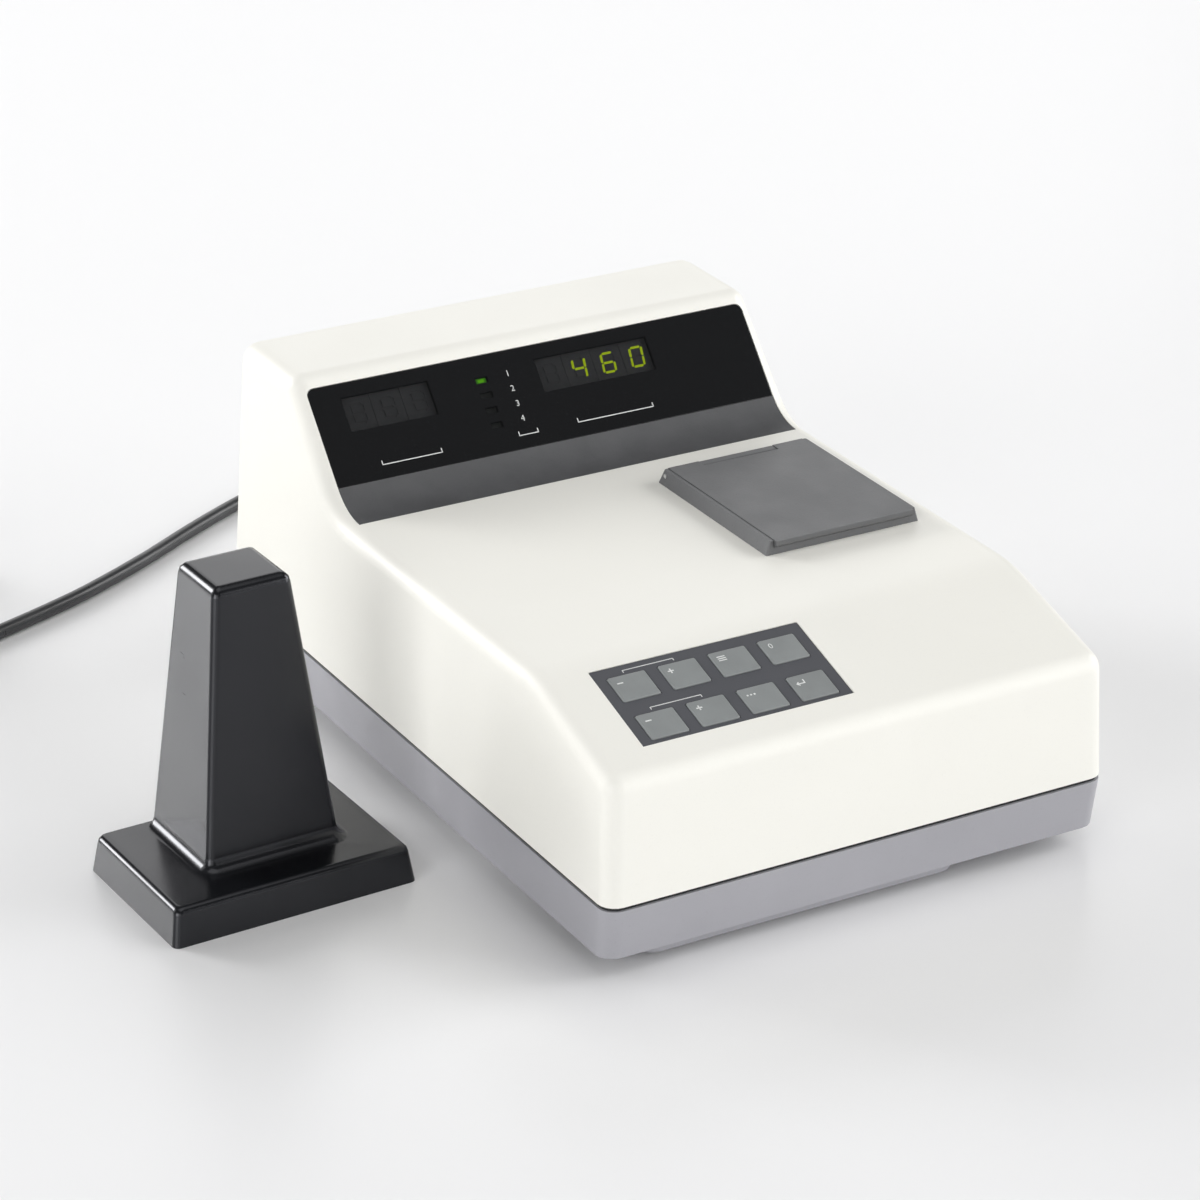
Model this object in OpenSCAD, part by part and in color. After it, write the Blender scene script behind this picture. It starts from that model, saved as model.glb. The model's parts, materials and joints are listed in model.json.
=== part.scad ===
// Visible spectrophotometer: a two-part moulded case with a sloping keypad, a raised display,
// a lidded sample compartment, a small grating monochromator inside, and a tall hood that
// stands beside it. Millimetres, +Z up, the front of the case towards -Y.

/* [Case] */
// Width of the case at its seam
case_w = 280; // [276:1:310]
// Depth of the case at its seam
case_d = 405; // [400:1:440]
// Wall of the cover and of the tray
wall = 3.5; // [2.5:0.25:4]
// Radius of the long edges of the cover
edge_r = 9; // [6:0.5:11]
// Height of the tray's lower edge above the bench
tray_z = 10; // [8:0.5:14]
// Height of the tray's outer wall
tray_h = 26.5; // [24:0.5:32]
// Thickness of the tray's floor
tray_floor = 4; // [3:0.5:5]
// How far the tray's front leans in towards its lower edge
tray_lean = 3.6; // [2:0.2:5]
// How far the tray's sides and back lean in
tray_side_lean = 0.7; // [0.4:0.1:2]
// Drop of the belly under the tray
belly_drop = 7; // [4:0.5:7.5]
// Thickness of the sealing strip in the seam
seal_t = 2; // [1.5:0.25:3]
// Depth of the groove that the sealing strip leaves in the seam
seal_groove = 1.2; // [0.8:0.1:1.4]
// Height of the slope's line at the front face
front_z = 100.7; // [98:0.5:104]
// Angle of the front slope
slope_a = 16.7; // [15:0.1:18]
// Height of the deck above the bench
deck_z = 124.2; // [122:0.2:128]
// Where the deck would meet the display's slope, from the front
valley_y = 283.5; // [280:0.5:292]
// Angle of the display's slope
panel_a = 49; // [46:0.5:52]
// Height of the top above the bench
top_z = 181.5; // [180:0.5:190]
// Lean of the side walls
side_draft = 2; // [1:0.1:2.5]
// Lean of the front wall
front_draft = 2.5; // [1:0.1:3]
// Lean of the back wall
back_draft = 3.7; // [2:0.1:4.5]

/* [Display] */
// Distance of the display window from the sides of the case
panel_inset = 11.3; // [11:0.1:14]
// Length of the display window up the slope
panel_len = 54; // [52:0.5:55]
// Thickness of the display window and of the band below it
panel_t = 2; // [1.5:0.1:2.2]
// Radius of the band's hollow
valley_r = 31; // [28:0.5:34]
// Spacing of the digit modules
digit_pitch = 17.3; // [16.5:0.1:17.6]
// Depth of the display board behind the panel's face
display_depth = 12; // [10:0.5:14]

/* [Keypad] */
// Width of the keypad's label
pad_w = 114; // [112:0.5:118]
// Length of the keypad's label up the slope
pad_len = 53.4; // [52:0.2:55]
// Width of a key
key_w = 20.2; // [18:0.2:21]
// Length of a key
key_len = 17; // [15:0.2:18]
// Spacing of the keys both ways
key_pitch = 27.2; // [26.6:0.1:27.6]
// How far a key goes down
key_travel = 0.5; // [0.3:0.1:0.6]

/* [Sample compartment] */
// Width of the compartment's frame
frame_w = 90; // [86:0.5:94]
// Length of the frame from front to back
frame_len = 105; // [100:0.5:108]
// Height of the frame above the deck
frame_h = 7.5; // [7:0.25:9]
// Distance of the frame's front from the front of the case
frame_y = 138.6; // [134:0.2:142]
// Distance of the frame from the right side of the case
frame_inset = 21; // [20:0.5:24]
// Thickness of the lid
lid_t = 3.9; // [3:0.1:4.2]
// Diameter of the hinge pin
pin_d = 2.5; // [2:0.1:2.8]
// Depth of the sample well below the deck
well_depth = 70; // [64:1:74]
// Inside width of the sample well
well_w = 72; // [68:0.5:73]
// Inside length of the sample well
well_len = 82; // [78:0.5:83]
// Width of the square slot for a cuvette
cell_w = 12.6; // [12.5:0.05:13]

/* [Monochromator] */
// Teeth of the sector gear, counted round a full circle
sector_teeth = 72; // [66:1:78]
// Teeth of the motor's pinion
pinion_teeth = 12; // [12:1:14]
// Gear module
gear_m = 1; // [0.9:0.02:1.06]
// Side of the square grating
grating_w = 25; // [20:0.5:28]
// Radius of the filter wheel
wheel_r = 30; // [29:0.25:32]

/* [Hood] */
// Width of the hood's base
hood_w = 129.3; // [120:0.5:140]
// Length of the hood's base from front to back
hood_d = 92; // [88:0.5:98]
// Height of the hood's base
hood_base_h = 19; // [16:0.5:24]
// Height of the hood
hood_h = 157; // [145:0.5:180]
// Width of the tower where it leaves the base
tower_w = 69.5; // [64:0.5:76]
// Length of the tower where it leaves the base
tower_d = 60.5; // [56:0.1:62]
// Width of the tower's top
tower_top_w = 41.4; // [34:0.2:46]
// Length of the tower's top
tower_top_d = 40; // [32:0.2:42]
// Wall of the hood
hood_wall = 3; // [2.5:0.25:4]

/* [Power lead] */
// Diameter of the power lead
cord_d = 7.8; // [7:0.1:8]
// Radius of the coil's outer turn
coil_r = 55; // [55:0.5:58]
// Spacing of the coil's turns and layers
coil_pitch = 8.8; // [8.6:0.1:8.9]

/* [Hidden] */
$fn = 48;
key_rows = 2;
key_columns = 4;

cream = "#efeee4";
grey = "#96969c";
slate = "#55585d";
black = "#1c1d1f";
board_green = "#2c6a45";
metal = "#b9bcc0";

// A running clearance between pieces that move, and a fitting one between pieces that don't
run = 0.3;
fit = 0.25;
cut = 2;

// Heights and lines of the case
seam_z = tray_z + tray_h + seal_t / 2;
cover_z = tray_z + tray_h + seal_t;
floor_z = tray_z + tray_floor;
belly_z = tray_z - belly_drop;
belly_floor_z = belly_z + 3;
crest_y = (deck_z - front_z) / tan(slope_a);
brow_y = valley_y + (top_z - deck_z) / tan(panel_a);
front_r = 10;
crest_r = 70;
brow_r = 10;
back_r = 12;

// The middle of the case and its front, measured from the middle of the whole set on the bench
hood_turn = 2;
hood_r = 3.5;
hood_edge = 3.5;
hood_back_edge = 1.4;
hood_sweep = 6.5;
hood_head_r = 5;
hood_gap = 31.85;
hood_dx = -case_w / 2 - hood_gap - hood_w / 2;
hood_y = 173.5;
hood_reach = (hood_w / 2 - hood_r) * cos(hood_turn) + (hood_d / 2 - hood_r) * sin(hood_turn) + hood_r;
mid_x = -(case_w / 2 + hood_dx - hood_reach) / 2;
front_y = -case_d / 2;
module in_case() translate([mid_x, front_y, 0]) children();

// Plane geometry
function unit(v) = v / norm(v);
function right_of(v) = [v.y, -v.x];
function turned(p, a) = [p.x * cos(a) - p.y * sin(a), p.x * sin(a) + p.y * cos(a)];
function reversed(l) = [for (i = [len(l) - 1:-1:0]) l[i]];
// Points of the arc that rounds corner b between a and c
function corner_arc(a, b, c, r, steps) =
  let (u = unit(a - b), v = unit(c - b), half = acos(u * v) / 2,
       middle = b + unit(u + v) * r / sin(half),
       start = b + u * r / tan(half) - middle,
       way = sign(cross(b - a, c - b)))
  [for (k = [0:steps]) middle + turned(start, way * (180 - 2 * half) * k / steps)];
// A closed loop of corners, each rounded with the same radius
function rounded_loop(p, r, steps = 5) =
  let (n = len(p))
  [for (i = [0:n - 1]) each corner_arc(p[(i + n - 1) % n], p[i], p[(i + 1) % n], r, steps)];
function box_loop(w, d) = [[-w, -d] / 2, [w, -d] / 2, [w, d] / 2, [-w, d] / 2];
function ring(w, d, r, z, x = 0, y = 0) = [for (p = rounded_loop(box_loop(w, d), r, 4)) [p.x + x, p.y + y, z]];
module rounded_rect(w, d, r) polygon(rounded_loop(box_loop(w, d), r));
module plate(w, d, h, r) linear_extrude(h) rounded_rect(w, d, r);
module block(lo, hi) translate(lo) cube(hi - lo);
// A profile in Y and Z, drawn out along X about the middle
module along_x_at(x, w) translate([x, 0, 0]) along_x(w) children();
module along_x(w) rotate([90, 0, 90]) linear_extrude(w, center = true) children();
// A round bar along X or along Y from a point
module bar_x(p, r, len) translate(p) rotate([0, 90, 0]) cylinder(r = r, h = len);
module bar_y(p, r, len) translate(p) rotate([-90, 0, 0]) cylinder(r = r, h = len);

// Solid skinned over a stack of closed rings, each with the same number of points
module loft(rings) {
  n = len(rings[0]);
  m = len(rings);
  sides = [for (i = [0:m - 2], j = [0:n - 1])
    let (a = i * n + j, b = i * n + (j + 1) % n) each [[a, b + n, b], [a, a + n, b + n]]];
  low = [[for (j = [0:n - 1]) j]];
  high = [[for (j = [n - 1:-1:0]) (m - 1) * n + j]];
  polyhedron([for (r = rings) each r], concat(low, sides, high), convexity = 8);
}

// The cover's side profile, set in from the outside by a distance d, from the back to the front
function cover_corners() = [
  [0, cover_z],
  [(front_z - seam_z) * tan(front_draft), front_z + (front_z - seam_z) * tan(front_draft) * tan(slope_a)],
  [crest_y, deck_z],
  [valley_y, deck_z],
  [brow_y, top_z],
  [case_d - (top_z - seam_z) * tan(back_draft), top_z],
  [case_d, cover_z]];
cover_radii = [0, front_r, crest_r, valley_r, brow_r, back_r, 0];
function set_in(c, i, d) =
  let (n1 = right_of(unit(c[i] - c[i - 1])), n2 = right_of(unit(c[i + 1] - c[i])))
  c[i] + d * (n1 + n2) / (1 + n1 * n2);
function cover_path(d, end_z) =
  let (c = cover_corners(), last = len(c) - 1,
       k = [for (i = [0:last]) i == 0 ? [c[0].x + d, end_z] : i == last ? [c[last].x - d, end_z] : set_in(c, i, d)])
  [for (i = [0:last]) each i == 0 || i == last ? [k[i]]
    : let (hollow = cross(c[i] - c[i - 1], c[i + 1] - c[i]) > 0)
      corner_arc(k[i - 1], k[i], k[i + 1], max(0.6, cover_radii[i] + (hollow ? d : -d)), i == 3 ? 8 : 5)];
// Half the width of the case at a height, and the cover's rings from left to right
function half_w(z) = case_w / 2 - (z - seam_z) * tan(side_draft);
edge_steps = 5;
function cover_ring(side, a, d, r, end_z) =
  [for (p = reversed(cover_path(d + r * (1 - sin(a)), end_z)))
    [side * (half_w(p.y) - d - r * (1 - cos(a))), p.x, p.y]];
function cover_rings(d) =
  let (r = max(2, edge_r - d))
  concat([for (k = [0:edge_steps]) cover_ring(-1, 90 * k / edge_steps, d, r, cover_z)],
    [for (k = [edge_steps:-1:0]) cover_ring(1, 90 * k / edge_steps, d, r, cover_z)]);
// The cover's shell: an outer and an inner skin, joined round the open bottom
module cover_shell(outer, inner) {
  n = len(outer[0]);
  m = len(outer);
  function skin(o, way) = [for (i = [0:m - 2], j = [0:n - 2])
    let (a = o + i * n + j, b = a + 1)
    each way > 0 ? [[a, b + n, b], [a, a + n, b + n]] : [[a, b, b + n], [a, b + n, a + n]]];
  function rim(j) = [for (i = [0:m - 2]) let (a = i * n + j, b = a + n, o = m * n)
    each j == 0 ? [[a, b + o, b], [a, a + o, b + o]] : [[a, b, b + o], [a, b + o, a + o]]];
  // an end wall starts at the foot of the back, from where the whole profile is seen
  function cap(o, i, way) = [[for (j = [0:n - 1]) o + i * n + (way > 0 ? j : (n - j) % n)]];
  function foot(i, way) = let (a = i * n, b = a + n - 1, o = m * n)
    way > 0 ? [[a, b, b + o], [a, b + o, a + o]] : [[a, b + o, b], [a, a + o, b + o]];
  polyhedron(concat([for (r = outer) each r], [for (r = inner) each r]),
    concat(skin(0, 1), skin(m * n, -1), rim(0), rim(n - 1), cap(0, 0, 1), cap(0, m - 1, -1),
      cap(m * n, 0, -1), cap(m * n, m - 1, 1), foot(0, 1), foot(m - 1, -1)), convexity = 8);
}

// Frames of the three faces that carry things: x is to the right, y up the face, z out of it
panel_y = valley_y + valley_r * tan(panel_a / 2) * cos(panel_a);
panel_z = deck_z + valley_r * tan(panel_a / 2) * sin(panel_a);
module on_panel() translate([0, panel_y, panel_z]) rotate([panel_a, 0, 0]) children();
module on_slope() translate([0, 0, front_z]) rotate([slope_a, 0, 0]) children();
back_z = 66;
module on_back() translate([0, case_d - (back_z - seam_z) * tan(back_draft), back_z])
  rotate([90 - back_draft, 0, 180]) children();

// Where the display's pieces sit on the panel
panel_sunk = 0.3;
panel_w = case_w - 2 * panel_inset;
panel_mid = panel_len / 2;
board_t = 1.6;
digit_w = digit_pitch - 0.3;
digit_len = 20;
digit_mid = 37;
wavelength_x = 53.3 - case_w / 2;
wavelength_digit_count = 3;
reading_x = 33.9;
reading_digit_count = 4;
lamp_x0 = -32;
mode_lamp_mid = 28.3;
mode_lamp_pitch = 8.4;
mode_lamp_count = 4;
mode_lamp_size = [7.8, 4];
display_board_past = 44;
display_board_len = 42;
display_face = -panel_sunk - panel_t - fit;
display_back = -display_depth + board_t;
module digit_places(x, count) for (i = [0:count - 1])
  translate([x + (i - (count - 1) / 2) * digit_pitch, digit_mid, 0]) children();
module mode_lamp_places() for (i = [0:mode_lamp_count - 1])
  translate([lamp_x0, mode_lamp_mid + (i - (mode_lamp_count - 1) / 2) * mode_lamp_pitch, 0]) children();
module display_boss_places() for (x = [wavelength_x - 32, -46, -10, reading_x + 42], y = [digit_mid - 14])
  translate([x, y, 0]) children();

// Where the keypad's pieces sit on the slope
pad_inset = 30.3;
pad_x = pad_inset + (pad_w - case_w) / 2;
pad_mid = 48;
keys_mid = 46;
label_t = 0.8;
label_sunk = 0.4;
key_gap = 0.3;
key_flange = 1.3;
key_proud = 0.2;
key_skirt_z = -wall - run;
key_bottom_z = key_skirt_z - 1.7;
key_stem = 2.4;
switch_top_z = key_bottom_z - key_stem - key_travel - run;
switch_h = 3.2;
pad_board_z = switch_top_z - switch_h;
function key_place(i) = [pad_x + (i % key_columns - (key_columns - 1) / 2) * key_pitch,
  keys_mid + ((key_rows - 1) / 2 - floor(i / key_columns)) * key_pitch, 0];
module key_places() for (i = [0:key_rows * key_columns - 1]) translate(key_place(i)) children();
module pad_boss_places() for (i = [-1:1]) translate([pad_x + i * key_pitch, keys_mid, 0]) children();

// The compartment: its frame, the hinge line and the well
frame_lean = 2.2;
frame_front_lean = 0.3;
rim_w = 2;
frame_x = (case_w - frame_w) / 2 - frame_inset;
frame_back_y = frame_y + frame_len;
frame_top_z = deck_z + frame_h;
knuckle_r = 3.3;
knuckle_len = 18;
knuckle_proud = 0.9;
lid_gap = 0.4;
lid_proud = 0.4;
lid_lip = 2.2;
lid_z = frame_top_z + lid_proud - lid_t;
hinge_y = frame_back_y - frame_lean - knuckle_r + knuckle_proud;
hinge_z = lid_z + lid_t - knuckle_r;
lid_w = frame_w - 2 * (frame_lean + rim_w + lid_gap);
middle_knuckle = lid_w - 2 * knuckle_len - 2 * lid_gap;
trap_h = 3.5;
trap_gap = 1;
well_wall = 2.5;
well_y = frame_y + frame_len / 2 - 3;
well_floor_z = deck_z - well_depth;
beam_z = well_floor_z + 18;
beam_y = well_y;
well_left = frame_x - well_w / 2 - well_wall;
well_right = frame_x + well_w / 2 + well_wall;

// The fixing screws, the feet and the belly
screw_in = 17;
screw_side = case_w / 2 - screw_in;
screw_front = 20;
screw_back = 30;
screw_r = 1.5;
head_r = 3.2;
head_h = 2;
foot_r = 6.5;
foot_side = case_w / 2 - 18.5;
foot_end = 35;
module screw_places(y) for (s = [-1, 1]) translate([s * screw_side, y, 0]) children();
module all_screw_places() for (y = [screw_front, case_d - screw_back]) screw_places(y) children();
module corner_places(side, end) for (x = [-side, side], y = [end, case_d - end]) translate([x, y, 0]) children();
belly_side = 27;
belly_front = 10.5;
belly_back = 22;
leg_in = 10;
leg_gap = 3;
belly_x = [belly_side - case_w / 2, frame_x - leg_in - leg_gap];
belly_y = [belly_front, case_d - belly_back];
belly_wall = 3;
belly_mid = [(belly_x[0] + belly_x[1]) / 2, (belly_y[0] + belly_y[1]) / 2];
belly_size = [belly_x[1] - belly_x[0], belly_y[1] - belly_y[0]];

module top_cover() color(cream) in_case() difference() {
  union() {
    cover_shell(cover_rings(0), cover_rings(wall));
    // screw posts that run up into the wall, and bosses behind the panel and the slope
    screw_places(screw_front) translate([0, 0, floor_z])
      cylinder(r = post_w / 2, h = front_z + screw_front * tan(slope_a) - wall / cos(slope_a) / 2 - floor_z);
    screw_places(case_d - screw_back) translate([0, 0, floor_z])
      cylinder(r = post_w / 2, h = top_z - wall / 2 - floor_z);
    on_panel() display_boss_places()
      translate([0, 0, display_back]) cylinder(r = 3, h = -display_back - wall + 0.6);
    on_slope() pad_boss_places()
      translate([0, 0, pad_board_z]) cylinder(r = 1.8, h = -pad_board_z - wall + 1);
  }
  all_screw_places() translate([0, 0, floor_z - cut]) cylinder(r = screw_r, h = 14 + cut);
  along_x(panel_w + 2 * fit) polygon(band_strip(-cut, panel_sunk + panel_t, fit, 2));
  on_panel() {
    translate([0, 1, -panel_sunk - panel_t]) linear_extrude(panel_t + panel_sunk + cut)
      window_shape(panel_w + 2 * fit, panel_len + fit - 1);
    digit_places(wavelength_x, wavelength_digit_count) cutter(digit_pitch + 2 * fit, digit_len + 2 * fit);
    digit_places(reading_x, reading_digit_count) cutter(digit_pitch + 2 * fit, digit_len + 2 * fit);
    mode_lamp_places() cutter(mode_lamp_size.x + 2 * fit, mode_lamp_size.y + 2 * fit);
  }
  on_slope() {
    translate([pad_x, pad_mid, -label_sunk - label_t])
      linear_extrude(label_t + label_sunk + cut) square([pad_w + 2 * fit, pad_len + 2 * fit], center = true);
    key_places() cutter(key_w + 2 * key_gap, key_len + 2 * key_gap);
  }
  translate([frame_x, well_y, deck_z])
    cutter(well_w + 2 * well_wall + 2 * fit, well_len + 2 * well_wall + 2 * fit);
  on_back() translate([-back_mid, 0, 0]) cutter(back_w, back_h);
}
post_w = 9;
// A hole through the wall of the cover
module cutter(w, d) translate([-w / 2, -d / 2, -wall - cut]) cube([w, d, wall + 2 * cut]);
// The window's outline from its lower edge up, round at its top corners
module window_shape(w, h) polygon(concat([[-w / 2, 0], [w / 2, 0]],
  corner_arc([w / 2, 0], [w / 2, h], [-w / 2, h], 4, 4), corner_arc([w / 2, h], [-w / 2, h], [-w / 2, 0], 4, 4)));

// The hollow strip below the window, from one depth under the surface to another
function band_side(d, beyond) =
  let (t = valley_r * tan(panel_a / 2), e = [cos(panel_a), sin(panel_a)],
       turn = [valley_y + d * tan(panel_a / 2), deck_z - d])
  concat([[valley_y - t, deck_z - d]],
    corner_arc(turn - [2 * t, 0], turn, turn + e * 2 * t, valley_r + d, 8),
    beyond > 0 ? [turn + e * ((valley_r + d) * tan(panel_a / 2) + beyond)] : []);
function band_strip(d1, d2, gap, beyond = 0) =
  let (a = band_side(d1, beyond), b = band_side(d2, beyond))
  concat([a[0] - [gap, 0]], [for (i = [1:len(a) - 1]) a[i]],
    reversed([for (i = [1:len(b) - 1]) b[i]]), [b[0] - [gap, 0]]);

module base_tray() color(grey) in_case() difference() {
  union() {
    tray_body(0, tray_z);
    translate([belly_mid.x, belly_mid.y, belly_z]) plate(belly_size.x, belly_size.y, belly_drop + 1, 8);
  }
  tray_body(wall, floor_z);
  translate([belly_mid.x, belly_mid.y, belly_floor_z])
    plate(belly_size.x - 2 * belly_wall, belly_size.y - 2 * belly_wall, tray_h, 6);
  all_screw_places() {
    translate([0, 0, tray_z - cut]) cylinder(r = screw_r + 0.5, h = tray_floor + 2 * cut);
    translate([0, 0, tray_z - cut]) cylinder(r = head_r + 0.4, h = head_h + 0.4 + cut);
  }
}
// The tray's form, leaning in towards its lower edge, set in by d and cut off at a height
module tray_body(d, low_z) {
  top = tray_z + tray_h;
  function tray_ring(z, lean) =
    ring(case_w - 2 * d - 2 * lean * tray_side_lean, case_d - 2 * d - lean * (tray_lean + tray_side_lean),
      max(2, edge_r - d), z, 0, case_d / 2 + lean * (tray_lean - tray_side_lean) / 2);
  loft(d == 0 ? [tray_ring(low_z, 1), tray_ring(top, 0)]
    : [tray_ring(low_z, (top - low_z) / tray_h), tray_ring(top, 0), tray_ring(top + cut, 0)]);
}

module seam_seal() color(black) in_case() translate([0, case_d / 2, tray_z + tray_h]) linear_extrude(seal_t)
  difference() {
    rounded_rect(case_w - 2 * seal_groove, case_d - 2 * seal_groove, edge_r - seal_groove);
    rounded_rect(case_w - 2 * wall, case_d - 2 * wall, edge_r - wall);
  }

module rubber_feet() color(black) in_case() corner_places(foot_side, foot_end)
  rotate_extrude() polygon([[0, 0.8], [foot_r - 3, 0.8], [foot_r - 3, 0], [foot_r - 1.2, 0],
    [foot_r - 0.4, 0.8], [foot_r, tray_z - 1.5], [foot_r, tray_z], [0, tray_z]]);

module cover_screws() color(metal) in_case() all_screw_places() {
  translate([0, 0, tray_z + 0.4]) difference() {
    cylinder(r = head_r, h = head_h);
    translate([-0.5, -head_r, -cut]) cube([1, 2 * head_r, cut + 0.8]);
  }
  translate([0, 0, tray_z + 0.4 + head_h]) cylinder(r = screw_r - 0.1, h = tray_floor + 6);
}

module display_window() color("#18191b") in_case() on_panel() translate([0, 0, -panel_sunk - panel_t])
  linear_extrude(panel_t) window_shape(panel_w, panel_len);

module display_band() color(slate) in_case()
  along_x(panel_w) polygon(band_strip(panel_sunk, panel_sunk + panel_t, 0));

module display_board() color(board_green) in_case() on_panel() difference() {
  translate([(wavelength_x + reading_x) / 2, digit_mid - 8, -display_depth])
    plate(reading_x - wavelength_x + 2 * display_board_past, display_board_len, board_t, 2);
  display_boss_places() translate([0, 0, -display_depth - cut]) cylinder(r = 1.2, h = board_t + 2 * cut);
}

module digits(x, count) in_case() on_panel() digit_places(x, count) translate([0, 0, display_back])
  difference() {
    plate(digit_w, digit_len, display_face - display_back, 0.4);
    translate([0, 0, display_face - display_back - 0.4]) segments();
  }
// Seven sunken bars in the form of an eight
module segments() {
  bar = 1.3;
  w = 7;
  h = 5.2;
  for (k = [-1:1]) translate([0, k * h, 0]) plate(w - bar, bar, cut, 0.3);
  for (x = [-w / 2, w / 2], k = [-1, 1]) translate([x, k * h / 2, 0]) plate(bar, h - bar, cut, 0.3);
}
module wavelength_digits() color(black) digits(wavelength_x, wavelength_digit_count);
module reading_digits() color(black) digits(reading_x, reading_digit_count);
module mode_lamps() color("#3d7a34") in_case() on_panel() mode_lamp_places() translate([0, 0, display_back])
  plate(mode_lamp_size.x, mode_lamp_size.y, display_face - display_back, 0.4);

module keypad_label() color("#4a4e54") in_case() on_slope() translate([0, 0, -label_sunk - label_t]) difference() {
  translate([pad_x, pad_mid, 0]) plate(pad_w, pad_len, label_t, 0.8);
  key_places() translate([0, 0, -cut]) plate(key_w + 2 * key_gap, key_len + 2 * key_gap, label_t + 2 * cut, 1.2);
}
module key(i) color("#7a8284") in_case() on_slope() translate(key_place(i)) {
  translate([0, 0, key_skirt_z]) loft([
    ring(key_w, key_len, 1, 0),
    ring(key_w, key_len, 1, key_proud - key_skirt_z - 0.4),
    ring(key_w - 0.8, key_len - 0.8, 0.8, key_proud - key_skirt_z)]);
  translate([0, 0, key_bottom_z])
    plate(key_w + 2 * key_flange, key_len + 2 * key_flange, key_skirt_z - key_bottom_z, 1.2);
  translate([0, 0, key_bottom_z - key_stem]) cylinder(r = 2, h = key_stem);
}
module keypad_board() color(board_green) in_case() on_slope() {
  difference() {
    translate([pad_x, keys_mid, pad_board_z - board_t])
      plate(key_columns * key_pitch + 4, key_rows * key_pitch, board_t, 1);
    pad_boss_places() translate([0, 0, pad_board_z - board_t - cut]) cylinder(r = 0.8, h = board_t + 2 * cut);
  }
  // a push switch under every key
  key_places() {
    translate([0, 0, pad_board_z]) plate(6, 6, switch_h - 0.8, 0.4);
    translate([0, 0, switch_top_z - 0.8]) cylinder(r = 1.7, h = 0.8);
  }
}

// The frame's low bezel stands on the deck, with a bed for the lid, side rims and a hinge knuckle
module frame_form() loft([
  ring(frame_w, frame_len, 1, deck_z, frame_x, frame_y + frame_len / 2),
  ring(frame_w - 2 * frame_lean, frame_len - frame_lean - frame_front_lean, 1, frame_top_z,
    frame_x, frame_y + (frame_len - frame_lean + frame_front_lean) / 2)]);
// A barrel round the hinge line, squared off above and behind
module knuckle(x, w) translate([x, hinge_y, hinge_z]) along_x(w) union() {
  circle(r = knuckle_r);
  polygon([[0, 0], [knuckle_r, 0], [knuckle_r, knuckle_r - 1.1], [knuckle_r - 1.1, knuckle_r], [0, knuckle_r]]);
}
module compartment_frame() color(slate) in_case() difference() {
  union() {
    difference() {
      frame_form();
      translate([frame_x, well_y, deck_z - cut]) plate(well_w, well_len, frame_h + 2 * cut, 2);
      // the lid's bed, open to the front
      block([frame_x - lid_w / 2 - lid_gap, frame_y - cut, lid_z - run],
        [frame_x + lid_w / 2 + lid_gap, frame_back_y + cut, frame_top_z + cut]);
      // room for the knuckles
      block([frame_x - lid_w / 2 - lid_gap, hinge_y - knuckle_r - run, deck_z - cut],
        [frame_x + lid_w / 2 + lid_gap, frame_back_y + cut, frame_top_z + cut]);
    }
    intersection() {
      translate([frame_x, 0, 0]) {
        knuckle(0, middle_knuckle);
        block([-middle_knuckle / 2, hinge_y - knuckle_r - 2 * run, deck_z],
          [middle_knuckle / 2, frame_back_y, lid_z - run]);
      }
      frame_form();
    }
  }
  bar_x([frame_x - frame_w, hinge_y, hinge_z], pin_d / 2 + 0.03, 2 * frame_w);
}

module sample_lid() color(slate) in_case() difference() {
  union() {
    difference() {
      block([frame_x - lid_w / 2, frame_y - lid_lip, lid_z], [frame_x + lid_w / 2, hinge_y, lid_z + lid_t]);
      // a rounded grip along the front edge
      along_x_at(frame_x, 2 * lid_w) polygon([[frame_y - lid_lip - cut, lid_z - cut], [frame_y + cut, lid_z - cut],
        [frame_y - 0.2, lid_z], [frame_y - lid_lip + 0.5, lid_z + 0.9], [frame_y - lid_lip, lid_z + 1.6],
        [frame_y - lid_lip - cut, lid_z + 1.6]]);
      block([frame_x - middle_knuckle / 2 - lid_gap, hinge_y - knuckle_r - lid_gap, deck_z],
        [frame_x + middle_knuckle / 2 + lid_gap, frame_back_y, frame_top_z + cut]);
    }
    for (s = [-1, 1]) knuckle(frame_x + s * (lid_w - knuckle_len) / 2, knuckle_len);
    // a light trap that drops into the mouth of the well
    translate([frame_x, well_y, lid_z - trap_h]) linear_extrude(trap_h) difference() {
      rounded_rect(well_w - 2 * trap_gap, well_len - 2 * trap_gap, 2);
      rounded_rect(well_w - 2 * trap_gap - 4, well_len - 2 * trap_gap - 4, 1);
    }
  }
  bar_x([frame_x - lid_w, hinge_y, hinge_z], pin_d / 2 + 0.05, 2 * lid_w);
}

module lid_pin() color("#d8dadc") in_case()
  bar_x([frame_x - pin_len / 2, hinge_y, hinge_z], pin_d / 2, pin_len);
pin_len = frame_w - 2 * frame_lean + 2;

module sample_well() color(black) in_case() difference() {
  union() {
    translate([frame_x, well_y, well_floor_z - well_wall])
      plate(well_w + 2 * well_wall, well_len + 2 * well_wall, well_depth + well_wall, 4);
    // two legs on the tray's floor
    for (x = [frame_x - leg_in, frame_x + 3 * leg_in])
      block([x, well_y - well_len / 2, floor_z], [x + 4, well_y + well_len / 2, well_floor_z]);
  }
  translate([frame_x, well_y, well_floor_z]) plate(well_w, well_len, well_depth + cut, 2);
  bar_x([well_left - cut, beam_y, beam_z], 5, well_right - well_left + 2 * cut);
}

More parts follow.
